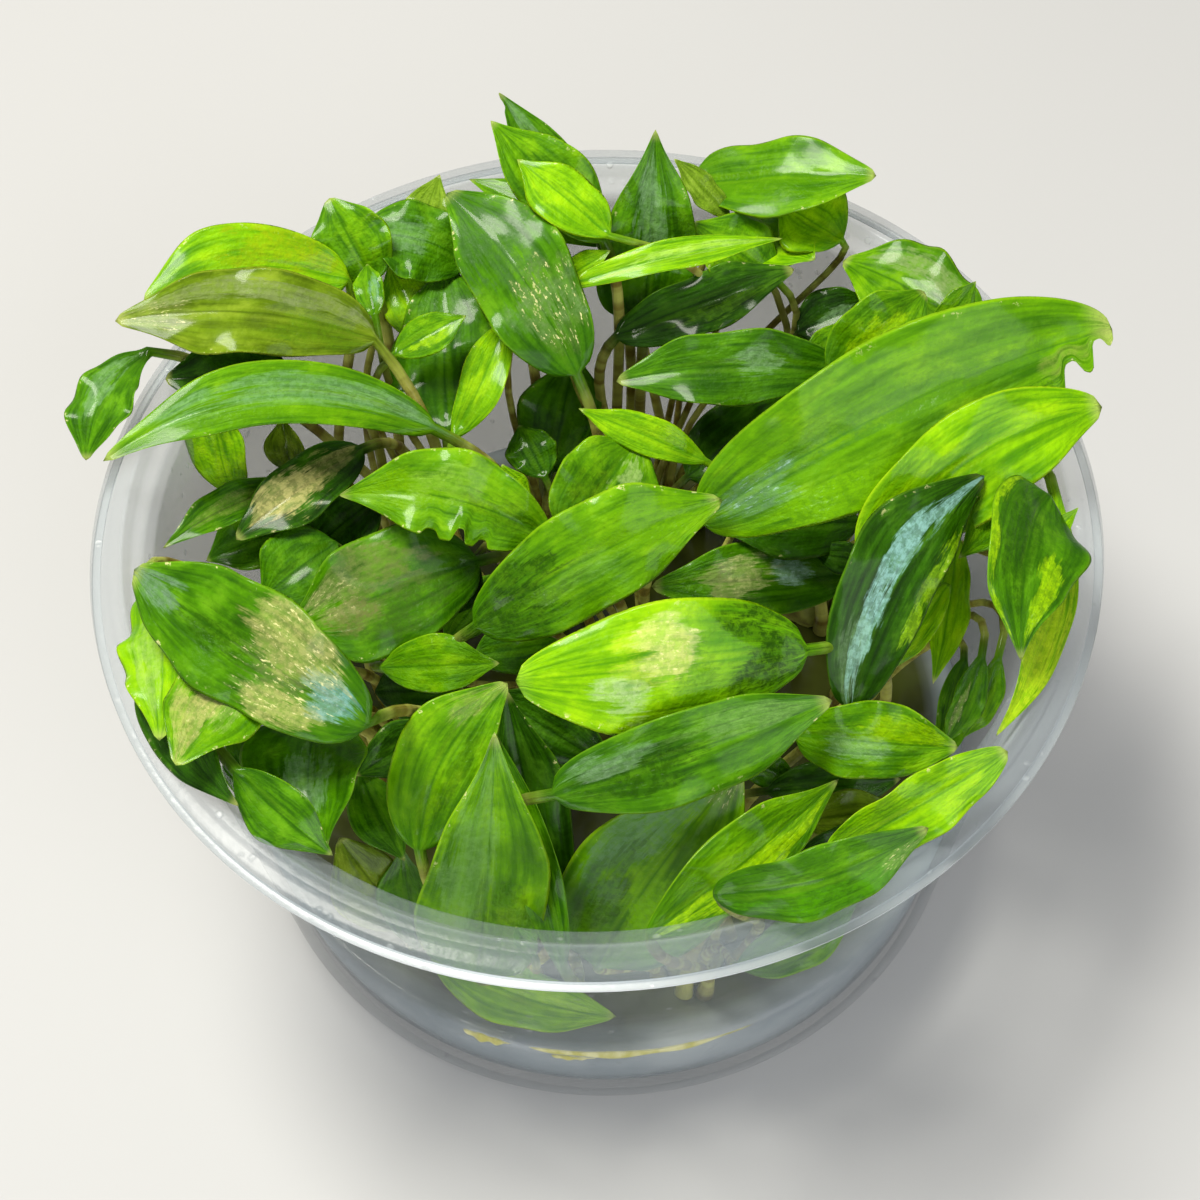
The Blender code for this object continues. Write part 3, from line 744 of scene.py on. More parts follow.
@dataclass
class Cup:
    """The open cup: a tapered wall, a flat base and a stepped rim that is turned down outside.

    Attributes:
        rim_radius: Radius of the rim's outside.
        rim_top: Height of the rim.
        mouth_radius: Radius of the opening at the rim.
        wall_top_radius: Radius of the wall's outside under the rim.
        base_radius: Radius of the base's outside.
        wall: Thickness of the wall.
        segments: Steps round the cup.
        finish: Its plastic.
        FLOOR: Thickness of the floor.
        SKIRT: How far the rim hangs down outside.
        STEP: How far the step inside the rim lies under it.
        FOG_RANGE: From where to where, front to back, the wall turns damp.
        SHINE_MIDDLE: Where the painted highlight on the front of the lip is brightest, from left to
            right.
        SHINE_REACH: How far that reaches.
    """

    rim_radius: float = 50.0
    rim_top: float = 53.4
    mouth_radius: float = 46.6
    wall_top_radius: float = 45.0
    base_radius: float = 40.1
    wall: float = 0.9
    segments: int = 192
    finish: CupFinish = field(default_factory=CupFinish)

    FLOOR = 1.0
    SKIRT = 2.6
    STEP = 1.5
    FOG_RANGE = (-22.0, 6.0)
    SHINE_MIDDLE = -10.0
    SHINE_REACH = 20.0

    def profile(self) -> Points:
        """The wall's section, from the inside of the floor round to the base.

        Returns:
            Rows of radius and height.
        """
        top, rim, mouth = self.rim_top, self.rim_radius, self.mouth_radius
        neck, foot = self.wall_top_radius, self.base_radius
        return rounded((
            (NEAR_AXIS, self.FLOOR, 0.0),
            (foot - self.wall - 0.4, self.FLOOR, 2.0),
            (neck - self.wall - 0.1, top - self.SKIRT, 0.6),
            (mouth - 0.7, top - self.STEP, 0.4),
            (mouth, top, 0.25),
            (mouth + 1.3, top, 0.2),
            (mouth + 1.5, top - 0.45, 0.15),
            (rim - 0.5, top - 0.6, 0.3),
            (rim, top - 1.2, 0.3),
            (rim, top - self.SKIRT, 0.1),
            (rim - 0.8, top - self.SKIRT, 0.1),
            (rim - 1.0, top - self.STEP, 0.2),
            (mouth + 0.6, top - 1.4, 0.3),
            (neck, top - 3.0, 0.4),
            (foot + 0.1, 0.9, 1.2),
            (foot - 0.9, 0.0, 0.3),
            (NEAR_AXIS, 0.0, 0.0),
        ))

    def build(self) -> None:
        """Build the cup in place of its node."""
        points, faces = turned(self.profile(), self.segments)
        x, y, height = points.T
        # How strong the painted highlight on the lip is: brightest at the front, a little to the
        # left
        painted_lip_shine = np.exp(-((x - self.SHINE_MIDDLE) / self.SHINE_REACH) ** 2) * (y < 0.0)
        numbers = {
            "height": height,
            "spread": np.hypot(x, y),
            "fog": smooth_step(y, *self.FOG_RANGE),
            "painted_lip_shine": painted_lip_shine,
        }
        piece = add_piece("frosted_cup", points, faces, self.finish.material(), numbers)
        settle(piece, "cup")


@dataclass(frozen=True)
class Root:
    """A root that lies along the wall at the top of the gel.

    Attributes:
        start: Where it starts round the cup, in degrees.
        end: Where it ends.
        reach: Its distance from the middle.
        height: Its height.
        radius: Half its thickness.
        wander: How far it strays from an even curve.
    """

    start: float
    end: float
    reach: float
    height: float
    radius: float
    wander: float = 0.4

    def shape(self, steps: int = 48, segments: int = 14) -> tuple[Points, Faces]:
        """The root's mesh.

        Args:
            steps: Rings along the root.
            segments: Points of each ring.

        Returns:
            Points and faces.
        """
        at = np.linspace(0.0, 1.0, steps)
        angle = np.radians(self.start + (self.end - self.start) * at)
        reach = self.reach + self.wander * np.sin(5.0 * at + 1.0)
        height = self.height + 0.5 * self.wander * np.sin(7.0 * at)
        course = np.stack([reach * np.cos(angle), reach * np.sin(angle), height], axis=-1)
        along = unit(np.gradient(course, axis=0))
        side = unit(np.cross(along, (0.0, 0.0, 1.0)))
        out = np.cross(side, along)
        radius = self.radius * (np.sin(math.pi * at).clip(0.0) ** 0.4 + 0.03)
        radius = radius * (1.0 + 0.12 * np.sin(21.0 * at))
        turn = np.arange(segments) * math.tau / segments
        ring = (np.cos(turn)[None, :, None] * side[:, None]
                + np.sin(turn)[None, :, None] * out[:, None])
        points = (course[:, None] + radius[:, None, None] * ring).reshape(-1, 3)
        ends = [list(range(segments)), list(range((steps - 1) * segments, steps * segments))]
        return points, between_rings(steps, segments) + ends


ROOT_FINISH = CloudedFinish("pale_root", shade(196, 190, 84), shade(232, 228, 168),
                            scale=500.0, rough=0.35, rougher=0.2, strength=0.4)
ROOTS = (
    Root(-105.0, -68.0, 39.45, 12.1, 0.8, 0.1),
    Root(-115.0, -106.5, 39.2, 11.9, 1.1, 0.1),
    Root(-101.0, -94.0, 39.5, 10.4, 0.45, 0.1),
)


@dataclass
class Gel:
    """The gel in the foot of the cup.

    Attributes:
        top: Height of its surface.
        bottom: Height of its underside.
        foot_radius: Radius at the bottom.
        top_radius: Radius at the surface.
        creep: How far it creeps up the wall.
        segments: Steps round it.
        finish: Its look.
        CREEP_REACH: How far from the wall it starts to creep up.
        SHADED: Radii between which the shade of the leaves on its surface ends.
    """

    top: float = 13.0
    bottom: float = 1.3
    foot_radius: float = 38.2
    top_radius: float = 40.0
    creep: float = 0.5
    segments: int = 128
    finish: GelFinish = field(default_factory=GelFinish)

    CREEP_REACH = 1.1
    SHADED = (36.0, 39.5)

    def build(self) -> None:
        """Build the gel in place of its node."""
        radii = np.linspace(NEAR_AXIS, self.top_radius, 40)
        wet = self.top + self.creep * np.exp((radii - self.top_radius) / self.CREEP_REACH)
        surface = np.stack([radii, wet], axis=1)
        under = np.array(((self.foot_radius + 0.6, self.bottom + 1.2),
                          (self.foot_radius, self.bottom), (NEAR_AXIS, self.bottom)))
        profile = np.concatenate([surface, under])
        points, faces = turned(profile, self.segments)
        spread = np.hypot(points[:, 0], points[:, 1])
        # Where the shade of the leaves is painted on the gel's top, fading out near the wall
        above = (points[:, 2] > self.top - 0.1) * (1.0 - smooth_step(spread, *self.SHADED))
        parts = [(points, faces, {"above": above})]
        for root in ROOTS:
            points, faces = root.shape()
            parts.append((points, faces, {"above": np.zeros(len(points))}))
        finishes = [self.finish.material()] + [ROOT_FINISH.material()] * len(ROOTS)
        piece = together("clear_gel_and_roots", parts, finishes)
        settle(piece, "gel")


# Leaves


class Solid:
    """A node's mesh in millimetres, with the points that were split at sharp edges joined."""

    def __init__(self, node: str) -> None:
        """Read a node of the frame.

        Args:
            node: The node's name.
        """
        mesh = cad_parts[node].data
        places = np.empty(len(mesh.vertices) * 3)
        mesh.vertices.foreach_get("co", places)
        places = np.round(places.reshape(-1, 3) / MILLIMETRE, 3)
        self.points, index = np.unique(places, axis=0, return_inverse=True)
        index = index.reshape(-1)
        self.near: list[set[int]] = [set() for _ in self.points]
        for polygon in mesh.polygons:
            corners = [int(index[v]) for v in polygon.vertices]
            for a, b in zip(corners, corners[1:] + corners[:1]):
                if a != b:
                    self.near[a].add(b)
                    self.near[b].add(a)

    def rings(self, tip: int, count: int) -> list[list[int]]:
        """Rings of four points below a tip.

        Args:
            tip: Number of the point at the tip.
            count: How many rings a leaf of this kind has.

        Returns:
            The rings from the tip downwards, and the points below them, or nothing where the
            point isn't a leaf's tip.
        """
        seen, layer, found = {tip}, [tip], []
        for _ in range(count):
            layer = sorted({n for point in layer for n in self.near[point]} - seen)
            if len(layer) != 4:
                return []
            seen.update(layer)
            found.append(layer)
        found.append(sorted({n for point in layer for n in self.near[point]} - seen))
        return found

    def tips(self, count: int, above: float) -> list[int]:
        """Numbers of the points that are leaves' tips, above a height."""
        return [n for n in range(len(self.points))
                if self.points[n][2] > above and len(self.near[n]) == 4 and self.rings(n, count)]


def bezier(controls: Points, at: Points) -> Points:
    """Points on a curve of four controls.

    Args:
        controls: The four controls.
        at: Places along the curve, from 0 to 1.

    Returns:
        The point at each place.
    """
    t = np.asarray(at)[..., None]
    return ((1 - t) ** 3 * controls[0] + 3 * t * (1 - t) ** 2 * controls[1]
            + 3 * t * t * (1 - t) * controls[2] + t ** 3 * controls[3])


def bezier_along(controls: Points, at: Points) -> Points:
    """Directions of a curve of four controls.

    Args:
        controls: The four controls.
        at: Places along the curve, from 0 to 1.

    Returns:
        A direction of length one at each place.
    """
    t = np.asarray(at)[..., None]
    legs = np.diff(controls, axis=0)
    return unit((1 - t) ** 2 * legs[0] + 2 * t * (1 - t) * legs[1] + t * t * legs[2])


def fitted(stations: Points, through: Points, start: Points, end: Points) -> Points:
    """The curve of four controls that goes through points at known stations.

    Args:
        stations: Where each point lies on the curve, from 0 to 1.
        through: The points.
        start: Where the curve starts.
        end: Where it ends.

    Returns:
        The four controls.
    """
    t = stations[:, None]
    first, second = 3 * t * (1 - t) ** 2, 3 * t * t * (1 - t)
    rest = through - (1 - t) ** 3 * start - t ** 3 * end
    inner = np.linalg.lstsq(np.hstack([first, second]), rest, rcond=None)[0]
    return np.stack([start, inner[0], inner[1], end])


class Outline(Enum):
    """Outlines of a blade: where its widest place lies, and how full its ends are."""

    LANCE = (0.9, 0.7)
    OVATE = (0.62, 0.72)
    OBLONG = (0.95, 0.45)
    SPOON = (1.35, 0.6)

    def breadth(self, at: Points) -> Points:
        """The blade's breadth at each place, as a part of its widest."""
        skew, fullness = self.value
        return np.sin(np.pi * np.clip(at, 0.0, 1.0) ** skew).clip(0.0) ** fullness


@dataclass(frozen=True)
class Course:
    """Where a leaf runs, as its frame says.

    Attributes:
        stalk: Controls of the stalk's centre line.
        blade: Controls of the blade's centre line.
        stations: Where the blade was measured.
        outs: The direction out of its face at each station.
        half: Half its widest width.
        fold: How far its edges rise, as a part of the half width.
        outline: Its outline.
        RIB_SHARE: How far the centre line lies from the face to the back of the rib.
        VIEWER_SIDE: The side that faces turn to.
    """

    stalk: Points
    blade: Points
    stations: Points
    outs: Points
    half: float
    fold: float
    outline: Outline

    RIB_SHARE = 0.25
    VIEWER_SIDE = unit(np.array((0.0, -0.5, 0.86)))

    @classmethod
    def of(cls, solid: Solid, tip: int, rings: list[list[int]],
           stalk_stations: tuple[float, ...]) -> Course:
        """Read a leaf's course from its rings.

        Args:
            solid: The mesh that it belongs to.
            tip: Number of its tip.
            rings: Its rings from the tip downwards, with what is below them.
            stalk_stations: Where the stalk's rings are, from its foot.

        Returns:
            The course.
        """
        count = len(rings) - 1 - len(stalk_stations)
        stations = 1.0 - np.arange(1, count) / count
        blades, stalks = rings[:count - 1], rings[count:-1]
        base = solid.points[rings[count - 1]].mean(axis=0)
        foot = solid.points[rings[-1]].mean(axis=0)
        end = solid.points[tip]
        middles, outs, halves, folds = [], [], [], []
        side = cls._widest(solid, blades)
        for number, ring in enumerate(blades):
            right, face, left, back = cls._corners(solid, ring, side[number])
            middle = face * (1 - cls.RIB_SHARE) + back * cls.RIB_SHARE
            out = unit(face - back)
            middles.append(middle)
            outs.append(out)
            halves.append(np.linalg.norm(right - left) / 2)
            folds.append(((right + left) / 2 - middle) @ out)
        halves = np.array(halves)
        fits = []
        for outline in Outline:
            shape = outline.breadth(stations)
            size = shape @ halves / (shape @ shape)
            fits.append((float(((size * shape - halves) ** 2).sum()), size, outline))
        _, half, outline = min(fits, key=lambda fit: fit[0])
        return cls(
            stalk=fitted(np.array(stalk_stations)[::-1],
                         np.array([solid.points[ring].mean(axis=0) for ring in stalks]),
                         foot, base),
            blade=fitted(stations, np.array(middles), base, end),
            stations=stations[::-1],
            outs=np.array(outs)[::-1],
            half=half,
            fold=float(np.sum(folds) / np.sum(halves)),
            outline=outline,
        )

    @staticmethod
    def _pairs(solid: Solid, ring: list[int]) -> tuple[tuple[int, int], tuple[int, int]]:
        """The two pairs of opposite corners of a ring.

        Args:
            solid: The mesh that it belongs to.
            ring: Numbers of its four points.

        Returns:
            The numbers, two and two.
        """
        first = ring[0]
        others = [n for n in ring[1:] if n not in solid.near[first]]
        far = others[0] if others else ring[2]
        rest = [n for n in ring[1:] if n != far]
        return (first, far), (rest[0], rest[1])

    @classmethod
    def _widest(cls, solid: Solid, blades: list[list[int]]) -> list[Points]:
        """The direction across the blade at each ring, carried out from its widest place.

        Args:
            solid: The mesh that it belongs to.
            blades: The blade's rings.

        Returns:
            A direction of length one for each ring.
        """
        spans = []
        for ring in blades:
            pairs = cls._pairs(solid, ring)
            spans.append([solid.points[a] - solid.points[b] for a, b in pairs])
        sizes = [max(np.linalg.norm(span) for span in pair) for pair in spans]
        start = int(np.argmax(sizes))
        chosen: list[Points] = [np.zeros(3)] * len(spans)
        chosen[start] = unit(max(spans[start], key=np.linalg.norm))
        for order in (range(start + 1, len(spans)), range(start - 1, -1, -1)):
            last = chosen[start]
            for number in order:
                last = unit(max(spans[number], key=lambda span: abs(unit(span) @ last)))
                chosen[number] = last
        return chosen

    @classmethod
    def _corners(cls, solid: Solid, ring: list[int], across: Points) -> list[Points]:
        """The corners of a ring, told apart.

        Args:
            solid: The mesh that it belongs to.
            ring: Numbers of its four points.
            across: The direction across the blade there.

        Returns:
            Its right edge, face, left edge and back.
        """
        pairs = sorted(cls._pairs(solid, ring), reverse=True,
                       key=lambda pair: abs(unit(solid.points[pair[0]] - solid.points[pair[1]])
                                            @ across))
        edges, spine = ([solid.points[n] for n in pair] for pair in pairs)
        face, back = sorted(spine, key=lambda point: -(point @ cls.VIEWER_SIDE))
        return [edges[0], face, edges[1], back]


@dataclass
class Leaf:
    """One leaf: a round stalk that flattens into a thin blade with a rib beneath.

    Attributes:
        name: Its name.
        course: Where it runs.
        look: How it looks.
        stalk_radius: Radius of the stalk.
        sheath: How much wider the stalk is at its foot.
        thickness: Thickness of the blade.
        round_points: Points round a section.
        stalk_steps: Sections of the stalk.
        blade_steps: Sections of the blade.
        POINTED: Where along the blade its tip starts and ends to narrow.
        SHOULDER: Where along the blade the stalk's width has run out.
        FLATTENED: Where along the blade the round stalk has turned flat.
        FLATNESS: Thickness of the stalk as a part of its width.
        RIB_WIDTH: Half the width of the rib beneath.
        GROOVE_WIDTH: Half the width of the groove above it.
        DIMPLES: How fine and how tall each kind of dimple is.
    """

    name: str
    course: Course
    look: Look
    stalk_radius: float = 0.6
    sheath: float = 0.7
    thickness: float = 0.26
    round_points: int = 28
    stalk_steps: int = 14
    blade_steps: int = 44

    POINTED = (0.66, 1.04)
    SHOULDER = 0.3
    FLATTENED = 0.09
    FLATNESS = 0.9
    RIB_WIDTH = 0.55
    GROOVE_WIDTH = 0.35
    DIMPLES = ((0.16, 0.14), (0.33, 0.09), (0.6, 0.05))

    def __post_init__(self) -> None:
        """Choose this leaf's own small irregularities."""
        chance = random.Random(self.name)
        self.phases = np.array([chance.uniform(0.0, math.tau) for _ in range(12)])
        turn = np.arange(self.round_points) * math.tau / self.round_points
        self.turn = turn + 0.25 * np.sin(2.0 * turn)

    def outs(self, at: Points) -> Points:
        """Directions out of the blade's face.

        Args:
            at: Places along the blade.

        Returns:
            A direction of length one at each place.
        """
        course = self.course
        columns = [np.interp(at, course.stations, course.outs[:, k]) for k in range(3)]
        return unit(np.stack(columns, axis=-1))

    def half(self, at: Points, across: Any = 0.0) -> Points:
        """Half the blade's width, never less than the stalk's radius at its base.

        Args:
            at: Places along the blade.
            across: Places across it, whose sign tells the edges apart.

        Returns:
            Half widths in millimetres.
        """
        look, phases, sides = self.look, self.phases, np.sign(across)
        width = look.fuller * self.course.half * self.course.outline.breadth(at)
        width = width * (1.0 - look.point * smooth_step(at, *self.POINTED))
        width = width * (1.0 + sides * 0.09 * np.sin(math.pi * at * 1.4 + phases[0]))
        width = width * (1.0 + 0.025 * np.sin(math.tau * 2.3 * at + phases[1] + sides))
        for notch in look.notches:
            bite = np.exp(-((at - notch.along) / notch.length) ** 4)
            width = width * (1.0 - notch.depth * bite * (sides == notch.side))
        stalk = self.stalk_radius * (1.0 - smooth_step(at, 0.0, self.SHOULDER))
        return np.sqrt(width ** 2 + stalk ** 2)

    def relief(self, at: Points, across: Points) -> Points:
        """Height of the blade's face over its centre line.

        Args:
            at: Places along the blade, as a column.
            across: Places across it, as a row.

        Returns:
            Heights in millimetres.
        """
        course, phases, reach = self.course, self.phases, self.half(at)
        size = np.minimum(reach / 4.0, 1.3)
        side = np.abs(across)
        crease = course.fold + 0.06 + 0.05 * math.sin(phases[4])
        height = crease * reach * side ** 1.1 - 0.07 * reach * side ** 3
        lean = np.where(across > 0.0, phases[2], phases[3])
        envelope = np.sin(np.pi * np.clip(at, 0.0, 1.0)) ** 0.5
        waves = self.look.waves + math.sin(phases[5])
        wave = np.sin(math.tau * waves * at + lean)
        height = height + 0.07 * math.sin(phases[6]) * across * reach * np.sin(math.pi * at)
        height = height + self.look.ripple * size * envelope * side ** 2.5 * wave
        length = np.linalg.norm(course.blade[3] - course.blade[0])
        for k, (scale, tall) in enumerate(self.DIMPLES):
            a, b, c = phases[3 * k + 2:3 * k + 5]
            height = height + tall * size * envelope * (
                np.sin(scale * (at * length + 1.3 * across * reach * math.cos(a)) * 2.0 + b)
                * np.cos(scale * (across * reach * 2.2 - at * length * 0.4) + c))
        groove = 0.16 * size * np.exp(-(across * reach / self.GROOVE_WIDTH) ** 2) * (1.0 - at)
        return height - groove - 0.02 * size * np.cos(side * math.pi * 6)

    def shape(self) -> Part:
        """The leaf's mesh.

        Returns:
            Points in millimetres, faces, and the numbers held at each point.
        """
        at = np.linspace(0.0, 1.0, self.blade_steps + 1)[:-1, None]
        turn = self.turn[None, :]
        across, top = np.cos(turn), np.sin(turn) > 1e-9
        middle = bezier(self.course.blade, at[:, 0])
        along = bezier_along(self.course.blade, at[:, 0])
        out = self.outs(at[:, 0])
        side = unit(np.cross(along, out))
        out = np.cross(side, along)
        reach = self.half(at, np.round(across, 6))
        face = self.relief(at, across)
        rib = np.exp(-(across * reach / self.RIB_WIDTH) ** 2)
        rib = 0.75 * self.stalk_radius * (1.0 - at) * rib
        depth = (self.thickness + rib) * (1.0 - across ** 8)
        sheet = np.where(top, face, face - depth)
        tube = self.stalk_radius * np.sin(turn) * self.FLATNESS
        height = tube + (sheet - tube) * smooth_step(at, 0.0, self.FLATTENED)
        blade = (middle[:, None] + side[:, None] * (reach * across)[..., None]
                 + out[:, None] * height[..., None])
        stalk, down = self._stalk(side[0], out[0])
        sections = np.concatenate([stalk, blade])
        tip = bezier(self.course.blade, np.array([1.0]))
        foot = bezier(self.course.stalk, np.array([0.0]))
        points = np.concatenate([sections.reshape(-1, 3), foot, tip])
        places = np.concatenate([down, at[:, 0]])
        numbers = self._numbers(places, across[0], top[0], self.half(at)[:, 0])
        return points, self._faces(len(sections)), numbers

    def _stalk(self, side: Points, out: Points) -> tuple[Points, Points]:
        """The stalk's sections.

        Args:
            side: The direction to the right at the blade's base.
            out: The direction out of the blade's face there.

        Returns:
            The sections, and where each lies: -1 at the stalk's foot, 0 at the blade.
        """
        at = np.linspace(0.0, 1.0, self.stalk_steps + 1)[:-1]
        middle = bezier(self.course.stalk, at)
        along = bezier_along(self.course.stalk, at)
        before = bezier_along(self.course.blade, np.array(0.0))
        frames = []
        for number in reversed(range(len(at))):
            turn = Vector(before).rotation_difference(Vector(along[number]))
            side = np.array(turn @ Vector(side))
            out = np.array(turn @ Vector(out))
            before = along[number]
            frames.insert(0, (side, out))
        radius = self.stalk_radius * (1.0 + self.sheath * np.exp(-at / 0.06))
        sections = []
        for number, (side, out) in enumerate(frames):
            ring = np.outer(np.cos(self.turn), side)
            ring = ring + np.outer(np.sin(self.turn) * self.FLATNESS, out)
            sections.append(middle[number] + radius[number] * ring)
        return np.array(sections), at - 1.0

    def _numbers(self, places: Points, across: Points, top: Points,
                 reach: Points) -> dict[str, Points]:
        """What the finish reads at each point.

        Args:
            places: Where each section lies, -1 at the foot and 1 at the tip.
            across: Where each point of a section lies, from edge to edge.
            top: Which points of a section are on the blade's face.
            reach: Half the blade's width at each of its sections.

        Returns:
            The numbers by name.
        """
        rows, columns = len(places), len(across)
        widths = np.concatenate([np.full(rows - len(reach), self.stalk_radius), reach])
        held = {
            "along": np.repeat(places, columns),
            "across": np.tile(across, rows),
            "offset": np.outer(widths, across).ravel(),
            "under": np.tile(np.where(top, 0.0, 1.0), rows),
        }
        ends = {"along": (-1.0, 1.0), "across": (0.0, 0.0), "offset": (0.0, 0.0),
                "under": (0.0, 0.0)}
        return {name: np.concatenate([values, ends[name]]) for name, values in held.items()}

    def _faces(self, rows: int) -> Faces:
        """Faces between the sections, and at both ends.

        Args:
            rows: How many sections there are.

        Returns:
            The faces.
        """
        columns = self.round_points
        faces = between_rings(rows, columns)
        foot, tip, last = rows * columns, rows * columns + 1, (rows - 1) * columns
        for k in range(columns):
            after = (k + 1) % columns
            faces.append([foot, after, k])
            faces.append([tip, last + k, last + after])
        return faces
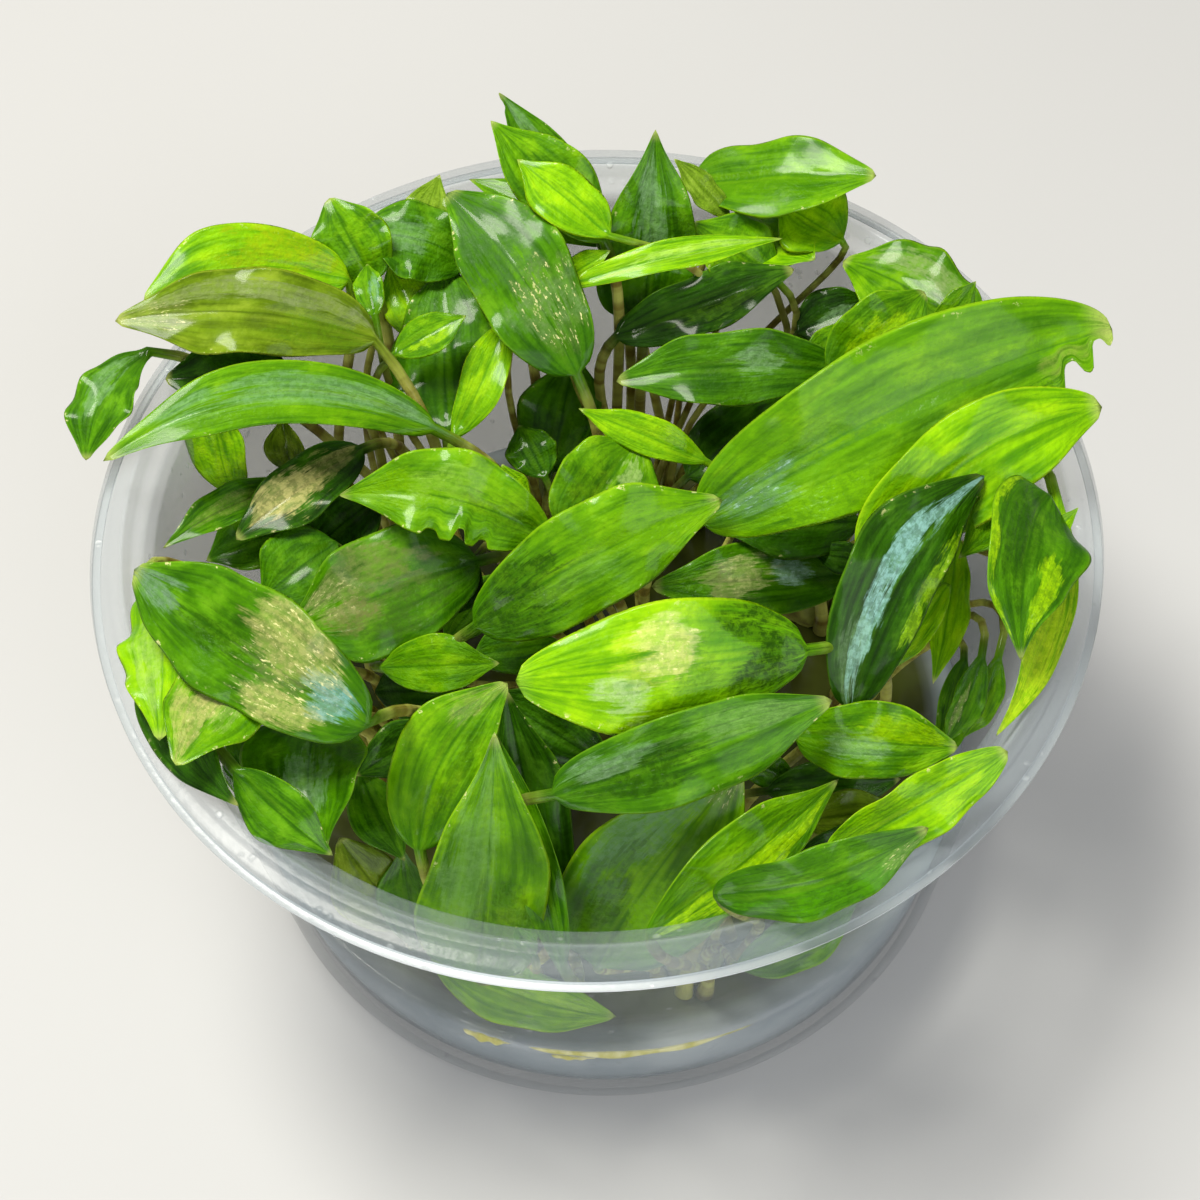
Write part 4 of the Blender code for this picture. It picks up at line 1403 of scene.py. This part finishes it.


# Looks by the numbers of the plantlet and its leaf
# Their pale, gold, tan, teal and sky-blue sheens are painted highlights and reflections of the
# lights; the darker and greener ones are plain colour patches.
LOOKS: dict[tuple[int, int], Look] = {
    (1, 1): Look(Tone.MID, (Sheen(0.5, 0.1, 0.3, 0.5, TAN, 0.4, 0.6),)),
    (1, 2): Look(Tone.DARK, (
        Sheen(0.6, 0.1, 0.3, 0.8, shade(204, 196, 124), 0.95, 0.2),
        Sheen(0.25, 0.2, 0.2, 0.6, TAN, 0.7, 0.4))),
    (1, 3): Look(Tone.DARK, fuller=1.3),
    (1, 4): Look(Tone.FRESH, fuller=1.3),
    (1, 5): Look(Tone.BRIGHT, (
        Sheen(0.3, 0.5, 0.3, 0.6, shade(148, 170, 10), 0.7, 0.0),), foot=0.3),
    (1, 6): Look(Tone.MID, (Sheen(0.4, 0.3, 0.3, 0.4, MIST, 0.6, 0.3),)),
    (1, 7): Look(Tone.OLIVE, (
        Sheen(0.85, 0.0, 0.16, 0.6, GOLD, 0.8, 0.9),
        Sheen(0.4, 0.5, 0.5, 0.3, shade(124, 138, 84), 0.7, 0.0),
        Sheen(0.2, -0.3, 0.2, 0.5, shade(84, 124, 10), 0.6, 0.0)), gloss=0.5, foot=0.3),
    (2, 1): Look(Tone.MID, (Sheen(0.7, 0.0, 0.3, 0.6, shade(84, 136, 40), 0.5, 0.0),)),
    (2, 2): Look(Tone.BRIGHT),
    (2, 3): Look(Tone.MID, (
        Sheen(0.75, 0.0, 0.4, 0.9, shade(66, 106, 46), 0.85, 0.0),
        Sheen(0.3, 0.1, 0.12, 0.9, shade(84, 122, 62), 0.7, 0.0),
        Sheen(0.3, 0.3, 0.2, 0.8, GOLD, 0.95, 0.95)), gloss=0.5),
    (2, 4): Look(Tone.MID, (Sheen(0.6, 0.0, 0.3, 0.5, MIST, 0.4, 0.0),), fuller=1.35),
    (2, 5): Look(Tone.FRESH, (
        Sheen(0.4, 0.2, 0.5, 0.5, shade(122, 168, 108), 0.65, 0.1),
        Sheen(0.6, -0.5, 0.4, 0.3, shade(96, 150, 8), 0.6, 0.0))),
    (3, 1): Look(Tone.FRESH, (
        Sheen(0.5, 0.5, 0.35, 0.35, shade(132, 156, 92), 0.8, 0.0),
        Sheen(0.3, -0.3, 0.3, 0.5, DEEP, 0.5, 0.0))),
    (3, 2): Look(Tone.FRESH, (
        Sheen(0.5, 0.3, 0.4, 0.5, shade(70, 124, 0), 0.6, 0.0),), fuller=1.35),
    (3, 3): Look(Tone.MID, (
        Sheen(0.4, -0.3, 0.3, 0.4, DEEP, 0.4, 0.0),
        Sheen(0.85, 0.2, 0.16, 0.5, MIST, 0.5, 0.1)), fuller=0.96, notches=(
        Notch(0.93, -1, 0.4, 0.03),)),
    (3, 4): Look(Tone.FRESH),
    (3, 5): Look(Tone.MID, (Sheen(0.6, 0.0, 0.3, 0.5, MIST, 0.6, 0.2),), fuller=1.3),
    (3, 6): Look(Tone.DARK, (Sheen(0.6, 0.4, 0.3, 0.3, shade(98, 152, 20), 0.6, 0.0),), fuller=1.3),
    (3, 7): Look(Tone.BRIGHT, (
        Sheen(0.6, -0.2, 0.4, 0.4, shade(168, 208, 96), 0.6, 0.0),), foot=0.1, fuller=0.84),
    (4, 1): Look(Tone.MID, (
        Sheen(0.56, 0.1, 0.2, 0.6, shade(196, 200, 130), 0.9, 0.3),
        Sheen(0.31, 0.2, 0.12, 0.5, SKY, 0.9, 0.4),
        Sheen(0.8, 0.0, 0.2, 0.7, DEEP, 0.6, 0.0)), fuller=1.35),
    (4, 2): Look(Tone.BRIGHT, (
        Sheen(0.12, 0.1, 0.17, 1.1, DEEP, 0.95, 0.0),
        Sheen(0.4, -0.1, 0.1, 0.5, shade(76, 128, 0), 0.7, 0.0),
        Sheen(0.55, 0.2, 0.14, 0.5, shade(194, 212, 60), 0.5, 0.0),
        Sheen(0.5, 0.3, 0.12, 0.5, GOLD, 0.95, 0.6),
        Sheen(0.66, -0.45, 0.12, 0.35, shade(176, 204, 136), 0.8, 0.1)),
        foot=0.8, tip=0.1, point=0.2, fuller=1.15),
    (4, 3): Look(Tone.BRIGHT, (
        Sheen(0.2, 0.3, 0.2, 0.4, shade(96, 150, 30), 0.6, 0.0),), foot=0.3, point=0.3),
    (5, 1): Look(Tone.MID, (
        Sheen(0.6, 0.4, 0.4, 0.6, shade(110, 126, 62), 0.9, 0.1),
        Sheen(0.45, -0.3, 0.35, 0.5, shade(62, 96, 26), 0.8, 0.0),
        Sheen(0.75, -0.1, 0.2, 0.4, shade(122, 124, 70), 0.7, 0.1),
        Sheen(0.8, 0.3, 0.2, 0.5, GOLD, 0.6, 0.8))),
    (5, 2): Look(Tone.FRESH, (
        Sheen(0.75, 0.1, 0.3, 0.6, shade(106, 158, 0), 0.9, 0.0),
        Sheen(0.5, 0.3, 0.2, 0.4, shade(140, 182, 70), 0.5, 0.2),
        Sheen(0.25, 0.0, 0.2, 0.5, DEEP, 0.5, 0.0)), foot=0.4, waves=3.0, notches=(
        Notch(0.4, -1, 0.35, 0.03), Notch(0.28, -1, 0.22, 0.03), Notch(0.55, -1, 0.2, 0.04))),
    (5, 3): Look(Tone.FRESH, (
        Sheen(0.6, 0.4, 0.3, 0.4, shade(160, 190, 110), 0.7, 0.0),
        Sheen(0.4, -0.3, 0.3, 0.4, DEEP, 0.5, 0.0))),
    (5, 4): Look(Tone.FRESH, (
        Sheen(0.5, 0.0, 0.5, 0.2, shade(66, 116, 44), 0.75, 0.2),
        Sheen(0.6, -0.3, 0.4, 0.5, shade(82, 134, 16), 0.7, 0.0),
        Sheen(0.5, 0.75, 0.5, 0.3, shade(116, 176, 4), 0.8, 0.0),
        Sheen(0.08, 0.0, 0.1, 0.8, shade(52, 96, 20), 0.7, 0.2),
        Sheen(0.14, 0.1, 0.1, 0.4, SKY, 0.6, 0.8),
        Sheen(0.88, 0.4, 0.07, 0.3, shade(156, 166, 80), 0.4, 0.2)), foot=0.2, point=0.1, notches=(
        Notch(0.955, 1, 0.75, 0.02), Notch(0.925, 1, -0.1, 0.012), Notch(0.88, 1, 0.5, 0.022),
        Notch(0.84, 1, -0.05, 0.015))),
    (6, 1): Look(Tone.DARK, fuller=1.3),
    (6, 2): Look(Tone.BRIGHT, (
        Sheen(0.5, 0.3, 0.4, 0.4, shade(164, 196, 100), 0.6, 0.2),), ripple=0.7, waves=4.0),
    (6, 3): Look(Tone.FRESH, (
        Sheen(0.5, 0.0, 0.3, 0.5, GOLD, 0.8, 0.8),
        Sheen(0.7, 0.3, 0.3, 0.5, TAN, 0.6, 0.0))),
    (6, 4): Look(Tone.MID, fuller=1.3),
    (6, 5): Look(Tone.MID, (Sheen(0.5, 0.0, 0.3, 0.4, MIST, 0.5, 0.1),), fuller=1.3),
    (6, 6): Look(Tone.FRESH, fuller=1.3),
    (6, 7): Look(Tone.FRESH, (
        Sheen(0.15, 0.0, 0.25, 1.0, DEEP, 0.9, 0.0),
        Sheen(0.8, 0.0, 0.25, 0.7, shade(102, 158, 0), 0.9, 0.0),
        Sheen(0.4, 0.2, 0.2, 0.3, shade(110, 160, 60), 0.5, 0.3)), foot=0.7),
    (7, 1): Look(Tone.MID, (
        Sheen(0.45, 0.0, 0.4, 0.4, DEEP, 0.7, 0.1),
        Sheen(0.15, 0.1, 0.11, 0.5, shade(118, 172, 168), 0.9, 0.2),
        Sheen(0.32, 0.5, 0.2, 0.5, TAN, 0.6, 0.2),
        Sheen(0.28, -0.6, 0.14, 0.4, TAN, 0.6, 0.2),
        Sheen(0.3, 0.0, 0.2, 1.0, GOLD, 0.95, 0.9),
        Sheen(0.92, 0.1, 0.16, 0.6, shade(110, 142, 110), 0.8, 0.0)), point=0.4, fuller=1.06),
    (7, 2): Look(Tone.DARK, fuller=1.3),
    (7, 3): Look(Tone.MID, fuller=1.3),
    (7, 4): Look(Tone.FRESH, (
        Sheen(0.55, -0.3, 0.4, 0.5, shade(112, 160, 78), 0.75, 0.1),
        Sheen(0.25, 0.3, 0.25, 0.5, DEEP, 0.5, 0.0))),
    (7, 5): Look(Tone.FRESH, (
        Sheen(0.5, 0.4, 0.3, 0.3, DEEP, 0.4, 0.0),
        Sheen(0.85, -0.3, 0.2, 0.5, TAN, 0.5, 0.6))),
    (7, 6): Look(Tone.MID, (
        Sheen(0.35, 0.1, 0.3, 0.5, DEEP, 0.8, 0.0),
        Sheen(0.7, -0.3, 0.25, 0.4, shade(122, 168, 76), 0.6, 0.2),
        Sheen(0.2, -0.4, 0.16, 0.4, MIST, 0.6, 0.3))),
    (8, 1): Look(Tone.DARK, (
        Sheen(0.62, -0.12, 0.6, 0.3, shade(134, 182, 172), 1.0, 0.0),
        Sheen(0.5, 0.85, 0.3, 0.25, shade(132, 176, 20), 0.8, 0.0),
        Sheen(0.15, -0.3, 0.2, 0.4, MIST, 0.5, 0.5)), tip=0.1, fuller=1.02),
    (8, 2): Look(Tone.FRESH, (
        Sheen(0.4, 0.2, 0.25, 0.4, MIST, 0.6, 0.2),
        Sheen(0.7, -0.4, 0.3, 0.4, LIME, 0.6, 0.0))),
    (8, 3): Look(Tone.FRESH, (Sheen(0.5, 0.4, 0.5, 0.4, LIME, 0.8, 0.0),), fuller=1.3),
    (8, 4): Look(Tone.MID, (
        Sheen(0.6, 0.55, 0.5, 0.4, shade(70, 134, 0), 0.85, 0.0),
        Sheen(0.5, -0.6, 0.4, 0.3, shade(56, 104, 16), 0.7, 0.0),
        Sheen(0.85, 0.5, 0.12, 0.4, GOLD, 0.9, 0.9)), foot=0.6, fuller=0.86),
    (8, 5): Look(Tone.BRIGHT, foot=0.2, point=0.2),
    (8, 6): Look(Tone.FRESH, (
        Sheen(0.7, -0.5, 0.35, 0.45, shade(104, 142, 100), 0.8, 0.1),
        Sheen(0.35, -0.4, 0.3, 0.3, DEEP, 0.6, 0.0),
        Sheen(0.35, 0.5, 0.45, 0.5, shade(112, 172, 0), 0.85, 0.0),
        Sheen(0.93, 0.3, 0.08, 0.6, GOLD, 0.9, 0.9))),
    (9, 1): Look(Tone.BRIGHT, (
        Sheen(0.7, 0.0, 0.5, 1.2, shade(200, 226, 40), 0.65, 0.0),), foot=0.3, fuller=1.0),
    (9, 2): Look(Tone.MID, (
        Sheen(0.4, 0.2, 0.4, 0.5, shade(40, 84, 0), 0.8, 0.0),
        Sheen(0.7, -0.5, 0.3, 0.3, LIME, 0.7, 0.0),
        Sheen(0.5, 0.9, 0.5, 0.16, LIME, 0.8, 0.0)), fuller=1.1),
    (9, 3): Look(Tone.MID, (Sheen(0.35, 0.1, 0.14, 0.4, MIST, 0.8, 0.3),), fuller=1.3),
    (9, 4): Look(Tone.FRESH, (Sheen(0.4, 0.0, 0.4, 0.4, LIME, 0.7, 0.0),)),
}
# The same for the young leaves that differ from young_look
YOUNG_LOOKS: dict[tuple[int, int], Look] = {
    (1, 5): Look(Tone.FRESH, (Sheen(0.5, 0.3, 0.4, 0.3, LIME, 0.7, 0.0),), foot=0.2, fuller=1.3),
    (2, 1): Look(Tone.FRESH, (Sheen(0.5, 0.3, 0.3, 0.4, TEAL, 0.5, 0.2),), fuller=1.3),
    (2, 2): Look(Tone.MID, fuller=1.8),
    (2, 3): Look(Tone.MID, fuller=1.8),
    (3, 6): Look(Tone.BRIGHT, foot=0.2, fuller=1.9),
    (4, 2): Look(Tone.BRIGHT, foot=0.3, tip=1.0, fuller=1.1),
    (4, 3): Look(Tone.BRIGHT, foot=0.3, tip=1.0, fuller=1.1),
    (4, 4): Look(Tone.MID, fuller=1.2),
    (4, 5): Look(Tone.MID, (Sheen(0.6, 0.3, 0.3, 0.3, GOLD, 0.9, 0.8),), fuller=0.9),
    (4, 6): Look(Tone.FRESH, (Sheen(0.5, 0.0, 0.3, 0.3, DEEP, 0.7, 0.0),), fuller=1.1),
    (7, 5): Look(Tone.BRIGHT, foot=0.1, fuller=1.4, point=0.2),
    (8, 3): Look(Tone.FRESH, foot=0.2, fuller=1.5),
    (8, 5): Look(Tone.DARK, (
        Sheen(0.6, 0.0, 0.4, 0.7, shade(104, 138, 126), 0.9, 0.1),), fuller=1.6),
    (9, 2): Look(Tone.MID, fuller=1.8),
    (9, 3): Look(Tone.FRESH, fuller=1.7),
    (9, 4): Look(Tone.DARK, (Sheen(0.5, 0.2, 0.3, 0.5, MIST, 0.5, 0.1),), fuller=1.7),
    (9, 5): Look(Tone.MID, fuller=1.7),
}
# Painted shade: young leaves whose tips lie low in the cup get darker tones, as the leaves above
# shade them, and those at the top brighter ones
MIDDLE_FROM = 44.5
HIGH_FROM = 52.0
LOW_TONES = (Tone.DARK, Tone.MID, Tone.OLIVE, Tone.DARK)
MIDDLE_TONES = (Tone.MID, Tone.FRESH, Tone.DARK, Tone.OLIVE)
HIGH_TONES = (Tone.BRIGHT, Tone.FRESH, Tone.BRIGHT, Tone.PALE)


def young_look(name: str, height: float) -> Look:
    """The look of a young leaf, with painted shade: darker tones low in the cup and brighter ones
    at the top.

    Args:
        name: The leaf's name, which its small differences come from.
        height: Height of its tip in millimetres.

    Returns:
        Its look.
    """
    higher = MIDDLE_TONES if height < HIGH_FROM else HIGH_TONES
    tones = LOW_TONES if height < MIDDLE_FROM else higher
    chance = random.Random(name)
    return Look(chance.choice(tones), waves=chance.uniform(1.0, 2.5), fuller=1.4)


@dataclass
class Plantlet:
    """One plantlet: a crown in the gel, its leaves, and young leaves fused with the crown.

    Attributes:
        number: Its number in the cup.
        crown_segments: Steps round the crown.
        OWN_STATIONS: Where the rings of a leaf's stalk are, from its foot.
        YOUNG_STATIONS: The same for a young leaf.
        OWN_RINGS: How many rings a leaf has.
        YOUNG_RINGS: The same for a young leaf.
        LOWEST_TIP: Height over which a leaf's tip lies.
        CROWN_LEVELS: Height and radius of the crown, from below.
        NOTCHED_STEPS: Sections of a blade whose edge is bitten.
    """

    number: int
    crown_segments: int = 24

    OWN_STATIONS = (0.03, 0.35, 0.7)
    YOUNG_STATIONS = (0.08, 0.4, 0.7)
    OWN_RINGS = 10
    YOUNG_RINGS = 8
    LOWEST_TIP = 18.6
    CROWN_LEVELS = ((10.3, 2.4), (12.0, 2.9), (13.8, 3.2), (15.0, 3.1), (16.4, 2.5), (17.6, 1.5))
    NOTCHED_STEPS = 170

    def leaf_numbers(self) -> list[int]:
        """Numbers of this plantlet's leaf nodes."""
        start = f"plantlet_{self.number}_leaf_"
        return sorted(int(n.removeprefix(start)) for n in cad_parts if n.startswith(start))

    def build(self) -> None:
        """Build the leaves and the crown in place of their nodes."""
        for number in self.leaf_numbers():
            self.build_leaf(number)
        self.build_crown()

    def build_leaf(self, number: int) -> None:
        """Build one leaf in place of its node.

        Args:
            number: The leaf's number.
        """
        node = f"plantlet_{self.number}_leaf_{number}"
        solid = Solid(node)
        tip = max(solid.tips(self.OWN_RINGS, self.LOWEST_TIP), key=lambda n: solid.points[n][2])
        course = Course.of(solid, tip, solid.rings(tip, self.OWN_RINGS), self.OWN_STATIONS)
        look = LOOKS[self.number, number]
        steps = self.NOTCHED_STEPS if look.notches else Leaf.blade_steps
        points, faces, numbers = Leaf(node, course, look, blade_steps=steps).shape()
        finish = LeafFinish(f"{node}_skin", look).material()
        piece = add_piece(f"{node}_blade_and_stalk", points, faces, finish, numbers)
        settle(piece, node)

    def build_crown(self) -> None:
        """Build the crown and its young leaves as one piece."""
        node = f"plantlet_{self.number}_crown"
        solid = Solid(node)
        tips = sorted(solid.tips(self.YOUNG_RINGS, self.LOWEST_TIP),
                      key=lambda n: tuple(solid.points[n]))
        parts = [self._stem(solid)]
        skin = CloudedFinish(f"{node}_skin", shade(96, 90, 38), shade(160, 166, 76),
                             scale=420.0, rough=0.3, rougher=0.3, strength=0.5)
        finishes = [skin.material()]
        for count, tip in enumerate(tips, start=1):
            name = f"plantlet_{self.number}_young_{count}"
            course = Course.of(solid, tip, solid.rings(tip, self.YOUNG_RINGS), self.YOUNG_STATIONS)
            look = (YOUNG_LOOKS.get((self.number, count))
                    or young_look(name, float(solid.points[tip][2])))
            leaf = Leaf(name, course, look, stalk_radius=0.42, sheath=0.9, thickness=0.2,
                        round_points=20, stalk_steps=12, blade_steps=26)
            parts.append(leaf.shape())
            finishes.append(LeafFinish(f"{name}_skin", look).material())
        piece = together(f"plantlet_{self.number}_crown_and_young_leaves", parts, finishes)
        settle(piece, node)

    def _stem(self, solid: Solid) -> Part:
        """The short stem that stands in the gel.

        Args:
            solid: The crown's mesh, which says where the stem stands.

        Returns:
            Points, faces, and the numbers held at each point, which are nought.
        """
        foot = solid.points[solid.points[:, 2] < self.CROWN_LEVELS[0][0] + 0.1]
        x, y, _ = foot.mean(axis=0)
        levels = np.array([(radius, height) for height, radius in self.CROWN_LEVELS])
        low, high = (NEAR_AXIS, levels[0][1]), (NEAR_AXIS, levels[-1][1] + 0.3)
        profile = np.concatenate([[low], levels, [high]])
        points, faces = turned(profile, self.crown_segments)
        angle = np.arctan2(points[:, 1], points[:, 0])
        points[:, :2] *= (1.0 + 0.08 * np.sin(5.0 * angle + self.number))[:, None]
        points = points + np.array((x, y, 0.0))
        blank = np.zeros(len(points))
        return points, faces, {name: blank for name in ("along", "across", "offset", "under")}


# The studio


@dataclass
class Studio:
    """A pale floor, soft lights and the camera.

    Attributes:
        lens: The camera's focal length.
        sensor: Width of its sensor.
        distance: From the aim to the camera, in millimetres.
        elevation: How steeply it looks down, in degrees.
        roll: Its turn about its own axis, in degrees.
        aim: Shift of the aim to the right and upwards, in millimetres.
        middle: Height of the aim.
        floor_size: Half the floor's side.
        backdrop: Strength of the light from all round.
        LIGHTS: Name, place, size, power and colour of each soft light, in metres and watts.
        LIT: Where they look.
    """

    lens: float = 70.0
    sensor: float = 36.0
    distance: float = 230.0
    elevation: float = 54.45
    roll: float = 3.05
    aim: tuple[float, float] = (0.13, -9.08)
    middle: float = 54.0
    floor_size: float = 1500.0
    backdrop: float = 0.28

    LIGHTS = (
        ("key", (-0.16, 0.10, 0.55), 0.2, 3.9, (1.0, 0.97, 0.88)),
        ("fill", (0.30, -0.45, 0.40), 0.45, 1.7, (0.96, 0.98, 1.0)),
        ("front", (-0.25, -0.60, 0.16), 0.3, 1.3, (1.0, 1.0, 1.0)),
    )
    LIT = (0.0, 0.0, 0.05)

    def build(self) -> None:
        """Build the floor, the lights and the camera."""
        self.add_camera()
        self.add_floor()
        self.add_lights()

    def add_camera(self) -> None:
        """Stand the camera where the cup was photographed from."""
        steep = math.radians(self.elevation)
        back = Vector((0.0, -math.cos(steep), math.sin(steep)))
        up = Vector((0.0, math.sin(steep), math.cos(steep)))
        centre = Vector((0.0, 0.0, self.middle))
        place = back * self.distance + centre
        target = Vector((self.aim[0], 0.0, 0.0)) + up * self.aim[1] + centre
        away = (place - target).normalized()
        right = Vector((0.0, 0.0, 1.0)).cross(away).normalized()
        upright = away.cross(right)
        turn = math.radians(self.roll)
        x = right * math.cos(turn) - upright * math.sin(turn)
        y = right * math.sin(turn) + upright * math.cos(turn)
        data = bpy.data.cameras.new("photo_camera")
        data.lens = self.lens
        data.sensor_width = self.sensor
        data.clip_start = 0.01
        camera = bpy.data.objects.new("photo_camera", data)
        matrix = Matrix((x, y, away)).transposed().to_4x4()
        matrix.translation = place * MILLIMETRE
        camera.matrix_world = matrix
        bpy.context.scene.collection.objects.link(camera)
        bpy.context.scene.camera = camera

    def add_floor(self) -> None:
        """Lay the floor under the cup."""
        size = self.floor_size
        points = np.array(((-size, -size, 0.0), (size, -size, 0.0), (size, size, 0.0),
                           (-size, size, 0.0)))
        floor = add_piece("floor", points, [[0, 1, 2, 3]], FloorFinish().material())

    def add_lights(self) -> None:
        """Hang the soft lights."""
        for light in self.LIGHTS:
            self._softbox(*light)
        world = bpy.data.worlds.new("studio")
        world.use_nodes = True
        background = world.node_tree.nodes["Background"]
        background.inputs["Color"].default_value = (1.0, 1.0, 1.0, 1.0)
        background.inputs["Strength"].default_value = self.backdrop
        bpy.context.scene.world = world
        bpy.context.scene.view_settings.view_transform = "Standard"

    def _softbox(self, name: str, place: tuple[float, float, float], size: float,
                 power: float, colour: Colour) -> None:
        """Hang a square soft light that looks at the cup.

        Args:
            name: Its name.
            place: Where it hangs.
            size: Its side.
            power: Its power.
            colour: Its colour.
        """
        data = bpy.data.lights.new(name, "AREA")
        data.size = size
        data.energy = power
        data.color = colour
        light = bpy.data.objects.new(name, data)
        light.location = place
        look = Vector(self.LIT) - light.location
        light.rotation_euler = look.to_track_quat("-Z", "Y").to_euler()
        bpy.context.scene.collection.objects.link(light)


def main() -> None:
    """Build the cup, the gel, the plantlets and the studio, in that order."""
    logging.basicConfig(level=logging.INFO, format="%(message)s")
    Cup().build()
    Gel().build()
    for number in range(1, PLANTLETS + 1):
        Plantlet(number).build()
    Studio().build()


if __name__ == "__main__":
    main()
